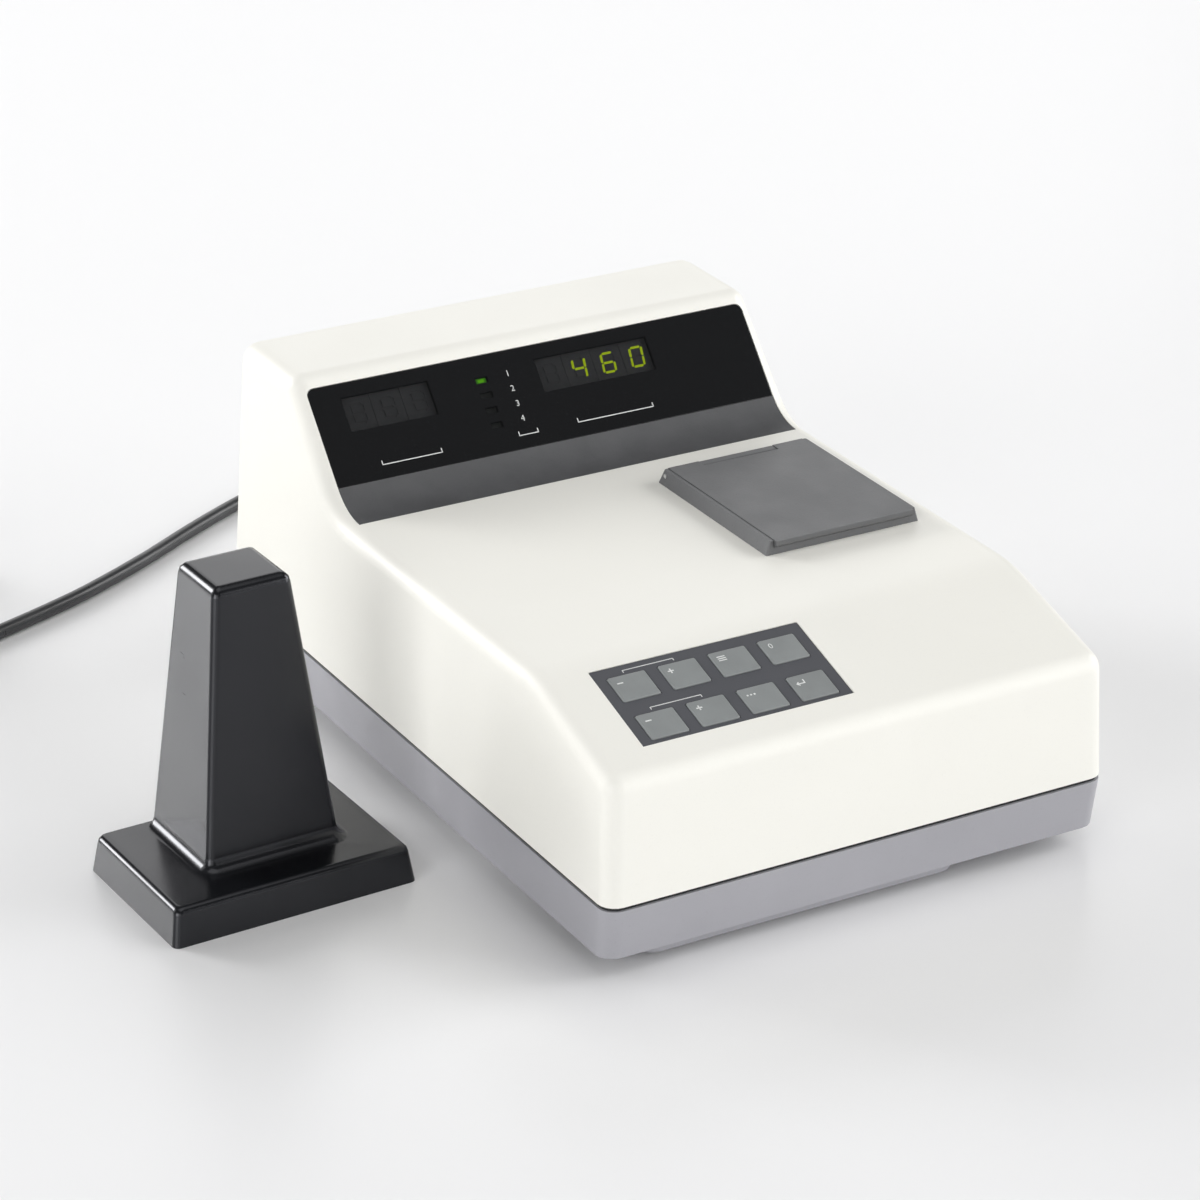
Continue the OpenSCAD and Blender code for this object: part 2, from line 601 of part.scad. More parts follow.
holder_w = 34;
holder_h = 36;
module cell_holder() color("#2e3033") in_case() difference() {
  translate([frame_x, well_y, well_floor_z]) plate(holder_w, holder_w, holder_h, 2);
  translate([frame_x, well_y, well_floor_z + 3]) plate(cell_w, cell_w, holder_h, 0.3);
  // a pocket for the spring beside the slot
  translate([frame_x - 4, well_y + cell_w / 2 - cut, well_floor_z + 3]) cube([8, cut + 4, holder_h]);
  bar_x([frame_x - holder_w, beam_y, beam_z], 4, 2 * holder_w);
}
module cell_spring() color("#c9ccce") in_case() translate([frame_x, well_y + cell_w / 2, well_floor_z + 3])
  along_x(6) polygon([[3.6, 0], [4, 0], [4, 6], [1.2, 18], [3.4, 28], [3, 28], [0.7, 18], [3.6, 6]]);

diode_r = 4.6;
detector_w = 12;
module detector_housing() color(black) in_case() difference() {
  block([well_right, beam_y - 15, beam_z - 15], [well_right + detector_w, beam_y + 15, beam_z + 15]);
  bar_x([well_right - cut, beam_y, beam_z], diode_r + 0.05, detector_w + 2 * cut);
}
module photodiode() color(metal) in_case() translate([well_right + detector_w, beam_y, beam_z]) rotate([0, -90, 0])
  rotate_extrude() polygon([[0, 0], [diode_r, 0], [diode_r, 1], [diode_r - 0.6, 1], [diode_r - 0.6, 5], [0, 5]]);
// The monochromator stands on a cast bench in the belly of the tray
bench_x = [belly_x[0] + belly_wall + 4, belly_x[1] - belly_wall - 2];
bench_y = [88, 338];
bench_t = 8;
bench_z = belly_floor_z + bench_t;
path_x = 0;
pivot = [4, beam_y - 36];
centres = gear_m * (sector_teeth + pinion_teeth) / 2;
motor_at = pivot - [0, centres];
gear_z = bench_z + 20;
gear_t = 5;
table_z = gear_z + gear_t + 16;
module optical_bench() color("#8d9194") in_case() difference() {
  union() {
    block([bench_x[0], bench_y[0], belly_floor_z + 4], [bench_x[1], bench_y[1], bench_z]);
    // a stiffening rim below the plate
    difference() {
      block([bench_x[0], bench_y[0], belly_floor_z], [bench_x[1], bench_y[1], belly_floor_z + 5]);
      block([bench_x[0] + 6, bench_y[0] + 6, belly_floor_z - cut], [bench_x[1] - 6, bench_y[1] - 6, belly_floor_z + 4]);
    }
  }
  for (x = [bench_x[0] + 12, bench_x[1] - 12], y = [bench_y[0] + 12, bench_y[1] - 12])
    translate([x, y, belly_floor_z - cut]) cylinder(r = 2.2, h = bench_t + 2 * cut);
}

lamp_house_w = 48;
lamp_house_y = [bench_y[1] - 50, bench_y[1] - 4];
lamp_house_h = 84;
lamp_y = (lamp_house_y[0] + lamp_house_y[1]) / 2;
socket_h = 20;
module lamp_house() color("#9ea2a6") in_case() difference() {
  block([path_x - lamp_house_w / 2, lamp_house_y[0], bench_z],
    [path_x + lamp_house_w / 2, lamp_house_y[1], bench_z + lamp_house_h]);
  block([path_x - lamp_house_w / 2 + 2, lamp_house_y[0] + 2, bench_z - cut],
    [path_x + lamp_house_w / 2 - 2, lamp_house_y[1] - 2, bench_z + lamp_house_h - 2]);
  bar_y([path_x, lamp_house_y[0] - cut, beam_z], 8, 2 + 2 * cut);
  for (i = [-2:2]) translate([path_x + i * 8 - 2, lamp_house_y[0] + 8, bench_z + lamp_house_h - 2 - cut])
    cube([4, lamp_house_y[1] - lamp_house_y[0] - 16, 2 + 2 * cut]);
}
// The bulb stands in a ceramic holder
module lamp() color("#e8ecef") in_case() translate([path_x, lamp_y, bench_z]) {
  plate(20, 14, socket_h, 2);
  translate([0, 0, socket_h]) rotate_extrude() polygon(concat([[0, 0], [4.5, 0], [4.5, 8], [6, 12]],
    [for (a = [0:15:90]) [6 * cos(a), beam_z - bench_z - socket_h + 4 + 8 * sin(a)]]));
}

lens_gap = 14;
lens_y = lamp_house_y[0] - lens_gap;
lens_r = 10;
module condenser_lens() color("#c3d3d8") in_case() {
  translate([path_x, lens_y, beam_z]) rotate([-90, 0, 0]) rotate_extrude()
    polygon(concat([[0, -5], [lens_r - 2, -2], [lens_r, -2], [lens_r, 4], [lens_r - 2, 4]], [[0, 4]]));
  block([path_x - 6, lens_y - 2, bench_z], [path_x + 6, lens_y + 4, beam_z - lens_r + 1]);
}

wheel_gap = 12;
wheel_y = lens_y - wheel_gap;
wheel_t = 3;
filter_r = 7;
filter_ring = wheel_r - filter_r - 1.5;
wheel_x = path_x + filter_ring;
filter_count = 5;
filter_shaft_r = 1.5;
filter_motor_r = 10;
filter_motor_len = 20;
filter_shaft_len = 12;
filter_motor_y = wheel_y + wheel_t + 1;
module filter_wheel() color("#34363a") in_case() {
  difference() {
    bar_y([wheel_x, wheel_y, beam_z], wheel_r, wheel_t);
    for (i = [0:filter_count - 1]) translate([wheel_x, wheel_y - cut, beam_z])
      rotate([0, 180 + i * 360 / filter_count, 0]) bar_y([filter_ring, 0, 0], filter_r, wheel_t + 2 * cut);
  }
  bar_y([wheel_x, wheel_y - 4, beam_z], 5, 4);
  bar_y([wheel_x, wheel_y + wheel_t, beam_z], filter_shaft_r, filter_shaft_len);
}
module filter_motor() color("#6d7176") in_case() difference() {
  union() {
    bar_y([wheel_x, filter_motor_y, beam_z], filter_motor_r, filter_motor_len);
    block([wheel_x - filter_motor_r + 3, filter_motor_y + 2, bench_z],
      [wheel_x + filter_motor_r - 3, filter_motor_y + filter_motor_len - 4, beam_z]);
  }
  bar_y([wheel_x, filter_motor_y - cut, beam_z], filter_shaft_r + 0.05, filter_shaft_len + 2);
}

slit_gap = 16;
slit_y = wheel_y - slit_gap;
module entrance_slit() color("#2f3134") in_case() difference() {
  block([path_x - slit_half + 2, slit_y, bench_z], [path_x + slit_half - 2, slit_y + slit_t, beam_z + slit_half - 2]);
  bar_y([path_x, slit_y - cut, beam_z], 4, slit_t + 2 * cut);
}
fold_gap = 22;
fold_y = slit_y - fold_gap;
fold_w = 22;
fold_t = 4;
fold_turn = 36;
fold_post_r = 5;
module fold_mirror() color("#c8d0d4") in_case() translate([path_x, fold_y, 0]) {
  translate([0, 0, bench_z]) cylinder(r = fold_post_r, h = beam_z - fold_w / 2 - bench_z);
  translate([0, 0, beam_z - fold_w / 2]) rotate([0, 0, fold_turn])
    translate([-fold_w / 2, -fold_t / 2, 0]) cube([fold_w, fold_t, fold_w]);
}
mirror_r = 22;
mirror_in = 12;
mirror_at = [bench_x[0] + mirror_in, beam_y - 6];
mirror_t = 8;
mount_half = 20;
mount_foot = 14;
mount_t = 6;
module mirror_mount() color("#2f3134") in_case() difference() {
  union() {
    block([mirror_at.x - mount_t - 2, mirror_at.y - mount_half, bench_z],
      [mirror_at.x + mount_foot, mirror_at.y + mount_half, bench_z + mount_t - 1]);
    block([mirror_at.x - mount_t, mirror_at.y - mount_half, bench_z],
      [mirror_at.x, mirror_at.y + mount_half, beam_z + mirror_r - 4]);
  }
  bar_x([mirror_at.x - 8, mirror_at.y, beam_z], 3, 12);
}
module collimator_mirror() color("#d5dde0") in_case() translate([mirror_at.x, mirror_at.y, beam_z]) rotate([0, 90, 0])
  rotate_extrude() polygon(concat([[0, 0], [mirror_r, 0], [mirror_r, mirror_t]],
    [for (k = [3:-1:0]) [mirror_r * k / 4, mirror_t - 3 + 3 * pow(k / 4, 2)]]));

post_r = 4;
module turret_post() color(metal) in_case() translate([pivot.x, pivot.y, bench_z]) {
  cylinder(r = post_r, h = gear_z + gear_t + 8 - bench_z);
  cylinder(r = hub_r, h = gear_z - run - bench_z);
}
// Involute flank: half the angle that a tooth fills at a radius
function involute_deg(a) = tan(a) * 180 / PI - a;
function tooth_half(teeth, r) =
  let (pitch_r = gear_m * teeth / 2, base_r = pitch_r * cos(20), play = 0.08)
  90 / teeth - play / pitch_r * 180 / PI + involute_deg(20) - involute_deg(acos(min(1, base_r / r)));
function tooth(teeth, turn) =
  let (pitch_r = gear_m * teeth / 2, root = pitch_r - 1.25 * gear_m, tip = pitch_r + 0.9 * gear_m,
       radii = [root, max(root, pitch_r * cos(20)) + 0.05, pitch_r - 0.2 * gear_m, pitch_r + 0.4 * gear_m, tip],
       low = [for (r = radii) let (a = turn - tooth_half(teeth, r)) [r * cos(a), r * sin(a)]],
       high = [for (r = reversed(radii)) let (a = turn + tooth_half(teeth, r)) [r * cos(a), r * sin(a)]])
  concat(low, high);
sector_span = 7;
hub_r = 9;
table_r = 17;
table_t = 3;
module grating_turret() color("#a9adb1") in_case() translate([pivot.x, pivot.y, 0]) difference() {
  union() {
    translate([0, 0, gear_z]) linear_extrude(gear_t)
      polygon(concat([[hub_r - 4, hub_r - 4], [4 - hub_r, hub_r - 4]],
        [for (i = [-sector_span:sector_span]) each tooth(sector_teeth, -90 + i * 360 / sector_teeth)]));
    translate([0, 0, gear_z]) cylinder(r = hub_r, h = table_z - gear_z);
    translate([0, 0, table_z]) cylinder(r = table_r, h = table_t);
    translate([0, 0, table_z + table_t]) rotate([0, 0, grating_turn])
      translate([1, -grating_w / 2, 0]) cube([4, grating_w, grating_w + 2]);
  }
  translate([0, 0, gear_z - cut]) cylinder(r = post_r + 0.05, h = gear_t + 9 + cut);
}
grating_turn = 12;
module grating() color("#8fa7c4") in_case() translate([pivot.x, pivot.y, table_z + table_t])
  rotate([0, 0, grating_turn]) translate([-5, -grating_w / 2, 0]) cube([6, grating_w, grating_w]);
shaft_r = 2.5;
motor_w = 35;
motor_h = gear_z - 3 - bench_z;
module grating_motor() color("#5d6166") in_case() translate([motor_at.x, motor_at.y, bench_z]) difference() {
  union() {
    plate(motor_w, motor_w, motor_h - 1.5, 4);
    cylinder(r = 11, h = motor_h);
  }
  translate([0, 0, 4]) cylinder(r = shaft_r + 0.05, h = motor_h);
}
module motor_pinion() color("#c9a85c") in_case() translate([motor_at.x, motor_at.y, 0]) {
  translate([0, 0, gear_z - 1]) linear_extrude(gear_t + 2) union() {
    circle(r = gear_m * pinion_teeth / 2 - 1.2 * gear_m);
    for (i = [0:pinion_teeth - 1])
      polygon(concat([[0, 0]], tooth(pinion_teeth, 90 + (i + 0.5) * 360 / pinion_teeth)));
  }
  translate([0, 0, bench_z + 4 + run]) cylinder(r = shaft_r, h = gear_z + gear_t + 3 - bench_z - 4 - run);
}

exit_gap = 10;
exit_x = well_left - exit_gap;
slit_t = 3;
slit_half = 16;
lens_tube = exit_gap - slit_t;
module exit_slit() color("#2f3134") in_case() difference() {
  block([exit_x, beam_y - slit_half, bench_z], [exit_x + slit_t, beam_y + slit_half, beam_z + slit_half]);
  bar_x([exit_x - cut, beam_y, beam_z], 4, slit_t + 2 * cut);
}
module exit_lens() color("#c3d3d8") in_case() translate([exit_x + slit_t, beam_y, beam_z]) rotate([0, 90, 0])
  rotate_extrude() polygon([[0, 2], [6, 1], [6, 0], [8, 0], [8, lens_tube], [6, lens_tube], [6, 4], [0, 3]]);

// The main board in the front of the belly
post_h = 18;
board_at = [belly_mid.x, belly_front + belly_wall + 35.5];
board_side = 10;
board_size = [belly_size.x - 2 * board_side, 64];
chip_count = 5;
can_r = 7;
can_x = board_size.x / 2 - can_r - 4;
chip_pitch = (board_size.x - 2 * can_r - 20) / chip_count;
module post_places() for (x = [-1, 1], y = [-1, 1])
  translate([board_at.x + x * (board_size.x / 2 - 6), board_at.y + y * (board_size.y / 2 - 6), 0]) children();
board_z = belly_floor_z + post_h;
module board_posts() color(metal) in_case() post_places() translate([0, 0, belly_floor_z]) cylinder(r = 3, h = post_h);
module main_board() color(board_green) in_case() {
  difference() {
    translate([board_at.x, board_at.y, board_z]) plate(board_size.x, board_size.y, board_t, 1);
    post_places() translate([0, 0, board_z - cut]) cylinder(r = 1.6, h = board_t + 2 * cut);
  }
  // chips and two capacitors
  translate([board_at.x, board_at.y, board_z + board_t]) {
    for (i = [0:chip_count - 1]) translate([(i - (chip_count - 1) / 2) * chip_pitch, 0, 0]) {
      translate([0, 8, 0]) plate(chip_pitch * 5 / 8, 36, 4, 1);
      translate([-chip_pitch / 4, -22, 0]) plate(chip_pitch * 5 / 6, 7.6, 4, 0.8);
    }
    for (i = [0, 1]) translate([can_x, -12 + i * 20, 0]) cylinder(r = can_r, h = 20);
  }
}

core = [62, 36, 52];
core_gap = 9.5;
transformer_at = [case_w / 2 - wall - core_gap - core.x / 2, 300];
module transformer() color("#6b5a49") in_case() translate([transformer_at.x, transformer_at.y, floor_z]) {
  difference() {
    translate([0, 0, core.z / 2]) cube(core, center = true);
    for (s = [-1, 1]) translate([s * core.x / 4, 0, core.z / 2])
      cube([core.x / 4, core.y + 2 * cut, core.z / 2], center = true);
  }
  translate([0, 0, core.z / 4 + 0.5]) difference() {
    plate(core.x - 2, core.y + 20, core.z / 2 - 1, 6);
    translate([0, 0, -cut]) plate(core.x / 4, core.y, core.z, 1);
    for (s = [-1, 1]) translate([s * core.x * 7 / 16, 0, core.z / 2 - cut])
      cube([core.x / 8, core.y, 2 * core.z], center = true);
  }
}

// The back: a plate behind a cut-out in the cover, with the inlet, the switch and a data socket
back_mid = 22;
back_w = 126;
back_h = 42;
plate_t = 2;
inlet_x = 60;
inlet_w = 27;
inlet_h = 20;
socket_depth = 14;
switch_x = 22;
switch_w = 13;
switch_len = 19;
data_x = -16;
face_z = -wall;
module rear_panel() color("#c4c6c4") in_case() on_back() difference() {
  union() {
    translate([-back_mid, 0, face_z - plate_t]) plate(back_w + 10, back_h + 8, plate_t, 3);
    // the data socket's shell and its fixing posts
    translate([-data_x, 0, face_z]) linear_extrude(2.8)
      polygon(rounded_loop([[-8, -4], [8, -4], [9, 4], [-9, 4]], 1.5));
    for (s = [-12.5, 12.5]) translate([-data_x + s, 0, face_z]) cylinder(r = 2.4, h = 2.5, $fn = 6);
  }
  translate([-inlet_x, 0, face_z - plate_t - cut])
    plate(inlet_w + 2 * fit, inlet_h + 2 * fit, plate_t + 2 * cut, 2);
  translate([-switch_x, 0, face_z - plate_t - cut])
    plate(switch_w + 2 * fit, switch_len + 2 * fit, plate_t + 2 * cut, 1);
}
module mains_inlet() color(black) in_case() on_back() translate([-inlet_x, 0, 0]) {
  difference() {
    union() {
      translate([0, 0, face_z]) plate(inlet_w + 4, inlet_h + 4, 2.5, 3);
      translate([0, 0, face_z - 17]) plate(inlet_w, inlet_h, 17, 2);
    }
    translate([0, 0, face_z + 2.5 - socket_depth]) plate(24.6, 16.8, socket_depth + cut, 3);
  }
  for (p = [[-7, -1], [7, -1], [0, 3]]) translate([p.x - 1, p.y - 2, face_z + 2.5 - socket_depth]) cube([2, 4, 9]);
}
rocker_turn = 9;
rocker_r = 8.6;
rocker_depth = 3;
rocker_pin_r = 1.2;
module switch_body() color(black) in_case() on_back() translate([-switch_x, 0, 0]) difference() {
  union() {
    translate([0, 0, face_z]) plate(switch_w + 2.5, switch_len + 2.5, 1.6, 1);
    translate([0, 0, face_z - 15]) plate(switch_w, switch_len, 15, 1);
  }
  translate([0, 0, face_z - 8]) plate(switch_w - 2.4, switch_len - 2, 8 + 1.6 + cut, 0.8);
  // holes for the rocker's pins
  bar_x([-switch_w, 0, face_z - rocker_depth], rocker_pin_r + 0.1, 2 * switch_w);
}
module power_rocker() color("#2a2b2e") in_case() on_back() translate([-switch_x, 0, face_z - rocker_depth])
  rotate([rocker_turn, 0, 0]) {
    along_x(switch_w - 3) polygon([[-rocker_r + 1.2, 2.2], [-rocker_r + 1.6, 5.4], [0, 4.2],
      [rocker_r - 1.6, 5.4], [rocker_r - 1.2, 2.2], [3, -2.4], [-3, -2.4]]);
    bar_x([0.3 - switch_w / 2, 0, 0], rocker_pin_r, switch_w - 0.6);
  }

// The hood: a wide flange and a tapered tower, one hollow shell that is open below
tower_dx = 2.4;
tower_dy = 12.05;
head_dy = 15;
module tall_hood() color(black) in_case() translate([hood_dx, hood_y, 0]) rotate([0, 0, hood_turn])
  difference() {
    loft(hood_rings(0));
    loft(hood_rings(hood_wall));
  }
// The hood's outline from the bench up, set in by d
function hood_rings(d) =
  let (lean = 2.2, top = hood_base_h - d, up = hood_h - d, r = max(1, hood_r - d),
       w = hood_w - 2 * (d + lean), l = hood_d - 2 * (d + lean),
       foot_w = tower_w - 2 * d, foot_d = tower_d - 2 * d,
       head_w = tower_top_w - 2 * d, head_d = tower_top_d - 2 * d,
       e = max(0.8, hood_edge - d), back = hood_back_edge / hood_edge,
       f = hood_sweep + d, h = max(0.8, hood_head_r - d))
  concat([ring(w + 2 * lean, l + 2 * lean, r, d > 0 ? -cut : 0)],
    // the flange's rolled edge, tighter at the back
    [for (a = [0:30:90]) let (s = e * (1 - cos(a)))
      ring(w - 2 * s, l - (1 + back) * s, r, top - e * (1 - sin(a)), 0, (1 - back) * s / 2)],
    // the sweep up into the tower, flush at the back
    [for (a = [0:30:90]) let (s = f * (1 - sin(a)))
      ring(foot_w + 2 * s, foot_d + s, r + s, top + f * (1 - cos(a)), tower_dx, tower_dy - s / 2)],
    // the head's rolled edge
    [for (a = [0:30:90]) let (s = h * (1 - cos(a)))
      ring(head_w - 2 * s, head_d - 2 * s, max(0.8, r - s / 2), up - h * (1 - sin(a)), tower_dx, head_dy)]);

// The power lead, in the frame of the case: out of the inlet, down to the bench and off to the left
cord_r = cord_d / 2;
cord_route = [[60, 470, 69], [59, 496, 61], [56, 520, 45], [51, 541, 27], [43, 561, 12], [29, 577, 5],
  [8, 587, 4.2], [-14, 588, 4.2], [-38, 581, 4.2], [-61, 571, 4.2], [-97, 551, 4.2], [-138, 526, 4.2],
  [-183, 502, 4.2], [-211, 490, 4.2], [-243, 478, 4.2], [-270, 468, 4.6]];
coil_at = [-318, 510];
coil_z = 5.1;
coil_start = -70;
coil_turns = 29 / 12;
coil_steps = 24;
tail_route = [[-367, 542, 13.9], [-359, 558, 13.8], [-346, 571, 13.6], [-330, 579, 13.5]];
// A smooth line through the points of a route, and a round tube along a line
function smooth(p, per) =
  let (n = len(p), q = concat([2 * p[0] - p[1]], p, [2 * p[n - 1] - p[n - 2]]))
  concat([for (i = [1:n - 1], k = [0:per - 1]) let (t = k / per)
    (2 * q[i] + (q[i + 1] - q[i - 1]) * t + (2 * q[i - 1] - 5 * q[i] + 4 * q[i + 1] - q[i + 2]) * t * t
      + (3 * q[i] - q[i - 1] - 3 * q[i + 1] + q[i + 2]) * t * t * t) / 2], [p[n - 1]]);
// A route that leaves one point along u and comes to another along v
function led(a, u, route, b, v) =
  concat([a], smooth(concat([a + u * cord_r], route, [b - v * cord_r]), 2), [b]);
function heading(p, i) = unit(p[min(i + 1, len(p) - 1)] - p[max(i - 1, 0)]);
function tube_ring(p, i, r, sides) =
  let (t = heading(p, i), u = unit(cross(t, [0, 0, 1])), v = cross(t, u))
  [for (k = [0:sides - 1]) p[i] + r * (u * cos(360 * k / sides) + v * sin(360 * k / sides))];
module tube(p, r, sides) loft([for (i = [0:len(p) - 1]) tube_ring(p, i, r, sides)]);

// The coil winds in on the bench, climbs half a turn and winds out again on top of itself
coil_half = coil_turns + 0.25;
coil_count = floor(2 * coil_half * coil_steps + 0.5);
function coil_point(t) =
  let (out = t - coil_half, a = coil_start - 360 * t, r = coil_r - coil_pitch * (coil_half - abs(out)),
       s = max(0, min(1, 2 * out + 0.5)))
  [coil_at.x + r * cos(a), coil_at.y + r * sin(a), coil_z + coil_pitch * s * s * (3 - 2 * s)];
coil_round = [for (i = [0:coil_count]) coil_point(i / coil_steps)];
coil_line = concat([coil_round[0] - cord_d * unit(coil_round[1] - coil_round[0])], coil_round,
  [coil_round[coil_count] + cord_d * unit(coil_round[coil_count] - coil_round[coil_count - 1])]);
coil_gap = min([for (i = [0:coil_count], j = [i + 8:1:coil_count]) norm(coil_round[i] - coil_round[j])]) - cord_d;
echo(coil_gap = coil_gap);

// The connector in the inlet, the lead, its tail and the plug that lies on the bench
connector_len = 24;
relief_len = 20;
cord_reach = connector_len + relief_len;
cord_exit = [inlet_x, case_d - (back_z - seam_z) * tan(back_draft) + cord_reach * cos(back_draft),
  back_z + cord_reach * sin(back_draft)];
cord_out = [0, cos(back_draft), sin(back_draft)];
cord_line = led(cord_exit, cord_out, cord_route, coil_line[0], heading(coil_line, 0));
plug_start = [-312, 581];
plug_h = 27;
coil_end = len(coil_line) - 1;
plug_at = [plug_start.x, plug_start.y, plug_h / 2];
plug_line = led(coil_line[coil_end], heading(coil_line, coil_end), tail_route, plug_at, [1, 0, 0]);
function line_len(p, i = 1) = i < len(p) ? norm(p[i] - p[i - 1]) + line_len(p, i + 1) : 0;
echo(cord_length = line_len(cord_line) + line_len(coil_line) + line_len(plug_line));

module power_cord() color(black) in_case() tube(cord_line, cord_r, 8);
module cord_coil() color(black) in_case() tube(coil_line, cord_r, 6);
module cord_tail() color(black) in_case() tube(plug_line, cord_r, 8);
module cord_connector() color(black) in_case() on_back() translate([-inlet_x, 0, 0]) {
  difference() {
    union() {
      translate([0, 0, face_z + 3 - socket_depth]) plate(23.8, 16, socket_depth - 2, 2.6);
      translate([0, 0, face_z + 1]) loft([ring(23.8, 16, 2.6, 0), ring(25.6, 17.8, 3, 3),
        ring(25.6, 17.8, 3, connector_len - 4), ring(18, 14, 3, connector_len - face_z - 1)]);
    }
    for (p = [[-7, -1], [7, -1], [0, 3]])
      translate([p.x - 1.3, p.y - 2.3, face_z + 3 - socket_depth - cut]) cube([2.6, 4.6, 10 + cut]);
  }
  translate([0, 0, connector_len]) cylinder(r1 = 6, r2 = cord_r + 0.8, h = relief_len);
}
plug_len = 38;
plug_w = 26;
blade_len = 17.5;
module mains_plug() color(black) in_case() translate([plug_start.x, plug_start.y, plug_h / 2])
  rotate([90, 0, 90]) {
  cylinder(r1 = cord_r + 0.8, r2 = 6, h = relief_len);
  translate([0, 0, relief_len]) loft([ring(15, 15, 5, 0), ring(20, 20, 5, 6),
    ring(plug_w, plug_h, 6, 20), ring(plug_w, plug_h, 6, plug_len)]);
  translate([0, 0, relief_len + plug_len]) {
    for (s = [-1, 1]) translate([s * 6.35 - 0.75, -3.2, 0]) cube([1.5, 6.4, blade_len]);
    translate([0, -8, 0]) cylinder(r = 2.4, h = blade_len + 2);
  }
}
tie_turn = 60;
tie_w = 9;
tie_t = 0.8;
module coil_tie() color("#3a3c40") in_case() translate([coil_at.x, coil_at.y, coil_z + coil_pitch / 2])
  rotate([0, 0, tie_turn]) translate([coil_r - coil_pitch * coil_half / 2, 0, 0]) rotate([90, 0, 0])
  linear_extrude(tie_w, center = true) difference() {
    rounded_rect(tie_span + 2 * tie_t, tie_high + 2 * tie_t, 3);
    rounded_rect(tie_span, tie_high, 2.2);
  }
tie_span = coil_pitch * coil_half + cord_d + 1.2;
tie_high = coil_pitch + cord_d + 0.6;

top_cover();
base_tray();
seam_seal();
rubber_feet();
cover_screws();
display_window();
display_band();
display_board();
wavelength_digits();
reading_digits();
mode_lamps();
keypad_label();
keypad_board();
key(0);  // key_1
key(1);  // key_2
key(2);  // key_3
key(3);  // key_4
key(4);  // key_5
key(5);  // key_6
key(6);  // key_7
key(7);  // key_8
compartment_frame();
sample_lid();
lid_pin();
sample_well();
cell_holder();
cell_spring();
detector_housing();
photodiode();
optical_bench();
lamp_house();
lamp();
condenser_lens();
filter_wheel();
filter_motor();
entrance_slit();
fold_mirror();
mirror_mount();
collimator_mirror();
turret_post();
grating_turret();
grating();
grating_motor();
motor_pinion();
exit_slit();
exit_lens();
main_board();
board_posts();
transformer();
rear_panel();
mains_inlet();
switch_body();
power_rocker();
tall_hood();
cord_connector();
power_cord();
cord_coil();
cord_tail();
coil_tie();
mains_plug();
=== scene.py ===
import json
import math
import bmesh
import bpy
from mathutils import Matrix, Vector


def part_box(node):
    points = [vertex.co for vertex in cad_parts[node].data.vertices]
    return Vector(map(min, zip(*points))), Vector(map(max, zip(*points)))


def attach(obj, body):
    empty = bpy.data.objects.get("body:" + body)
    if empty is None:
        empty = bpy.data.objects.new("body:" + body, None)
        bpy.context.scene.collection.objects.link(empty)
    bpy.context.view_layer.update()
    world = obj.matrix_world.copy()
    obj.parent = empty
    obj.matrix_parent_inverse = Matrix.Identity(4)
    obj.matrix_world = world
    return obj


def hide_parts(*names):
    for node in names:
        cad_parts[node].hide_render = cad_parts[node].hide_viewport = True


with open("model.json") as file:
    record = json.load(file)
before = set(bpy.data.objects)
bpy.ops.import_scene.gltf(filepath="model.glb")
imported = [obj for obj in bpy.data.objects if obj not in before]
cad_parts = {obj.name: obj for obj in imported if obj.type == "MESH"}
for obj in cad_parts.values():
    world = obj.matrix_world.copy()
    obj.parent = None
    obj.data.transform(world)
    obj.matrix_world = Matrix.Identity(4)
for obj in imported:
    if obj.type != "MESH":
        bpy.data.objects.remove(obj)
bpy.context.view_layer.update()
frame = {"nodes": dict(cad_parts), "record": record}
scene = bpy.context.scene
mm = 0.001
nodes = frame["nodes"]
slotOf = {part["node"]: part["material_slot"] for part in frame["record"]["subparts"]}
bodyOf = {node: body for body, group in frame["record"]["behaviour"]["bodies"].items() for node in group}
trayLow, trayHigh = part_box("base_tray")
caseMid = (trayLow.x + trayHigh.x) / 2
caseFront = trayLow.y


def onBench(x, y, z):  # millimetres from the middle of the case's front edge, on the bench
    return Vector((caseMid + x * mm, caseFront + y * mm, z * mm))


def turned(degrees, axis):
    return Matrix.Rotation(math.radians(degrees), 4, axis)


print("frame loaded:", len(nodes), "nodes")

# camera, from the photograph's own vanishing lines
cameraSet = {"place": (-943.494, -1387.407, 946.305), "azimuth": -29.923, "elevation": 25.0925,
             "roll": 0.464, "lens": 121.0897, "sensor": 36.0, "far": 50.0}


def makeCamera(s):
    data = bpy.data.cameras.new("studioCamera")
    data.lens = s["lens"]
    data.sensor_width = s["sensor"]
    data.clip_end = s["far"]
    camera = bpy.data.objects.new("studioCamera", data)
    scene.collection.objects.link(camera)
    look = turned(s["azimuth"], "Z") @ turned(90 - s["elevation"], "X")
    camera.matrix_world = Matrix.Translation(onBench(*s["place"])) @ look @ turned(s["roll"], "Z")
    scene.camera = camera


makeCamera(cameraSet)
print("camera set")


# a socket that takes part in Python expressions
class Wire:
    def __init__(self, owner, socket):
        self.owner = owner
        self.socket = socket

    def reckon(self, operation, first, second=0.0):
        return self.owner.out("ShaderNodeMath", {"operation": operation}, {0: first, 1: second})

    def __add__(self, other):
        return self.reckon("ADD", self, other)

    __radd__ = __add__

    def __sub__(self, other):
        return self.reckon("SUBTRACT", self, other)

    def __rsub__(self, other):
        return self.reckon("SUBTRACT", other, self)

    def __mul__(self, other):
        return self.reckon("MULTIPLY", self, other)

    __rmul__ = __mul__

    def __abs__(self):
        return self.reckon("ABSOLUTE", self)

    def __lt__(self, other):
        return self.reckon("LESS_THAN", self, other)

    def __gt__(self, other):
        return self.reckon("GREATER_THAN", self, other)


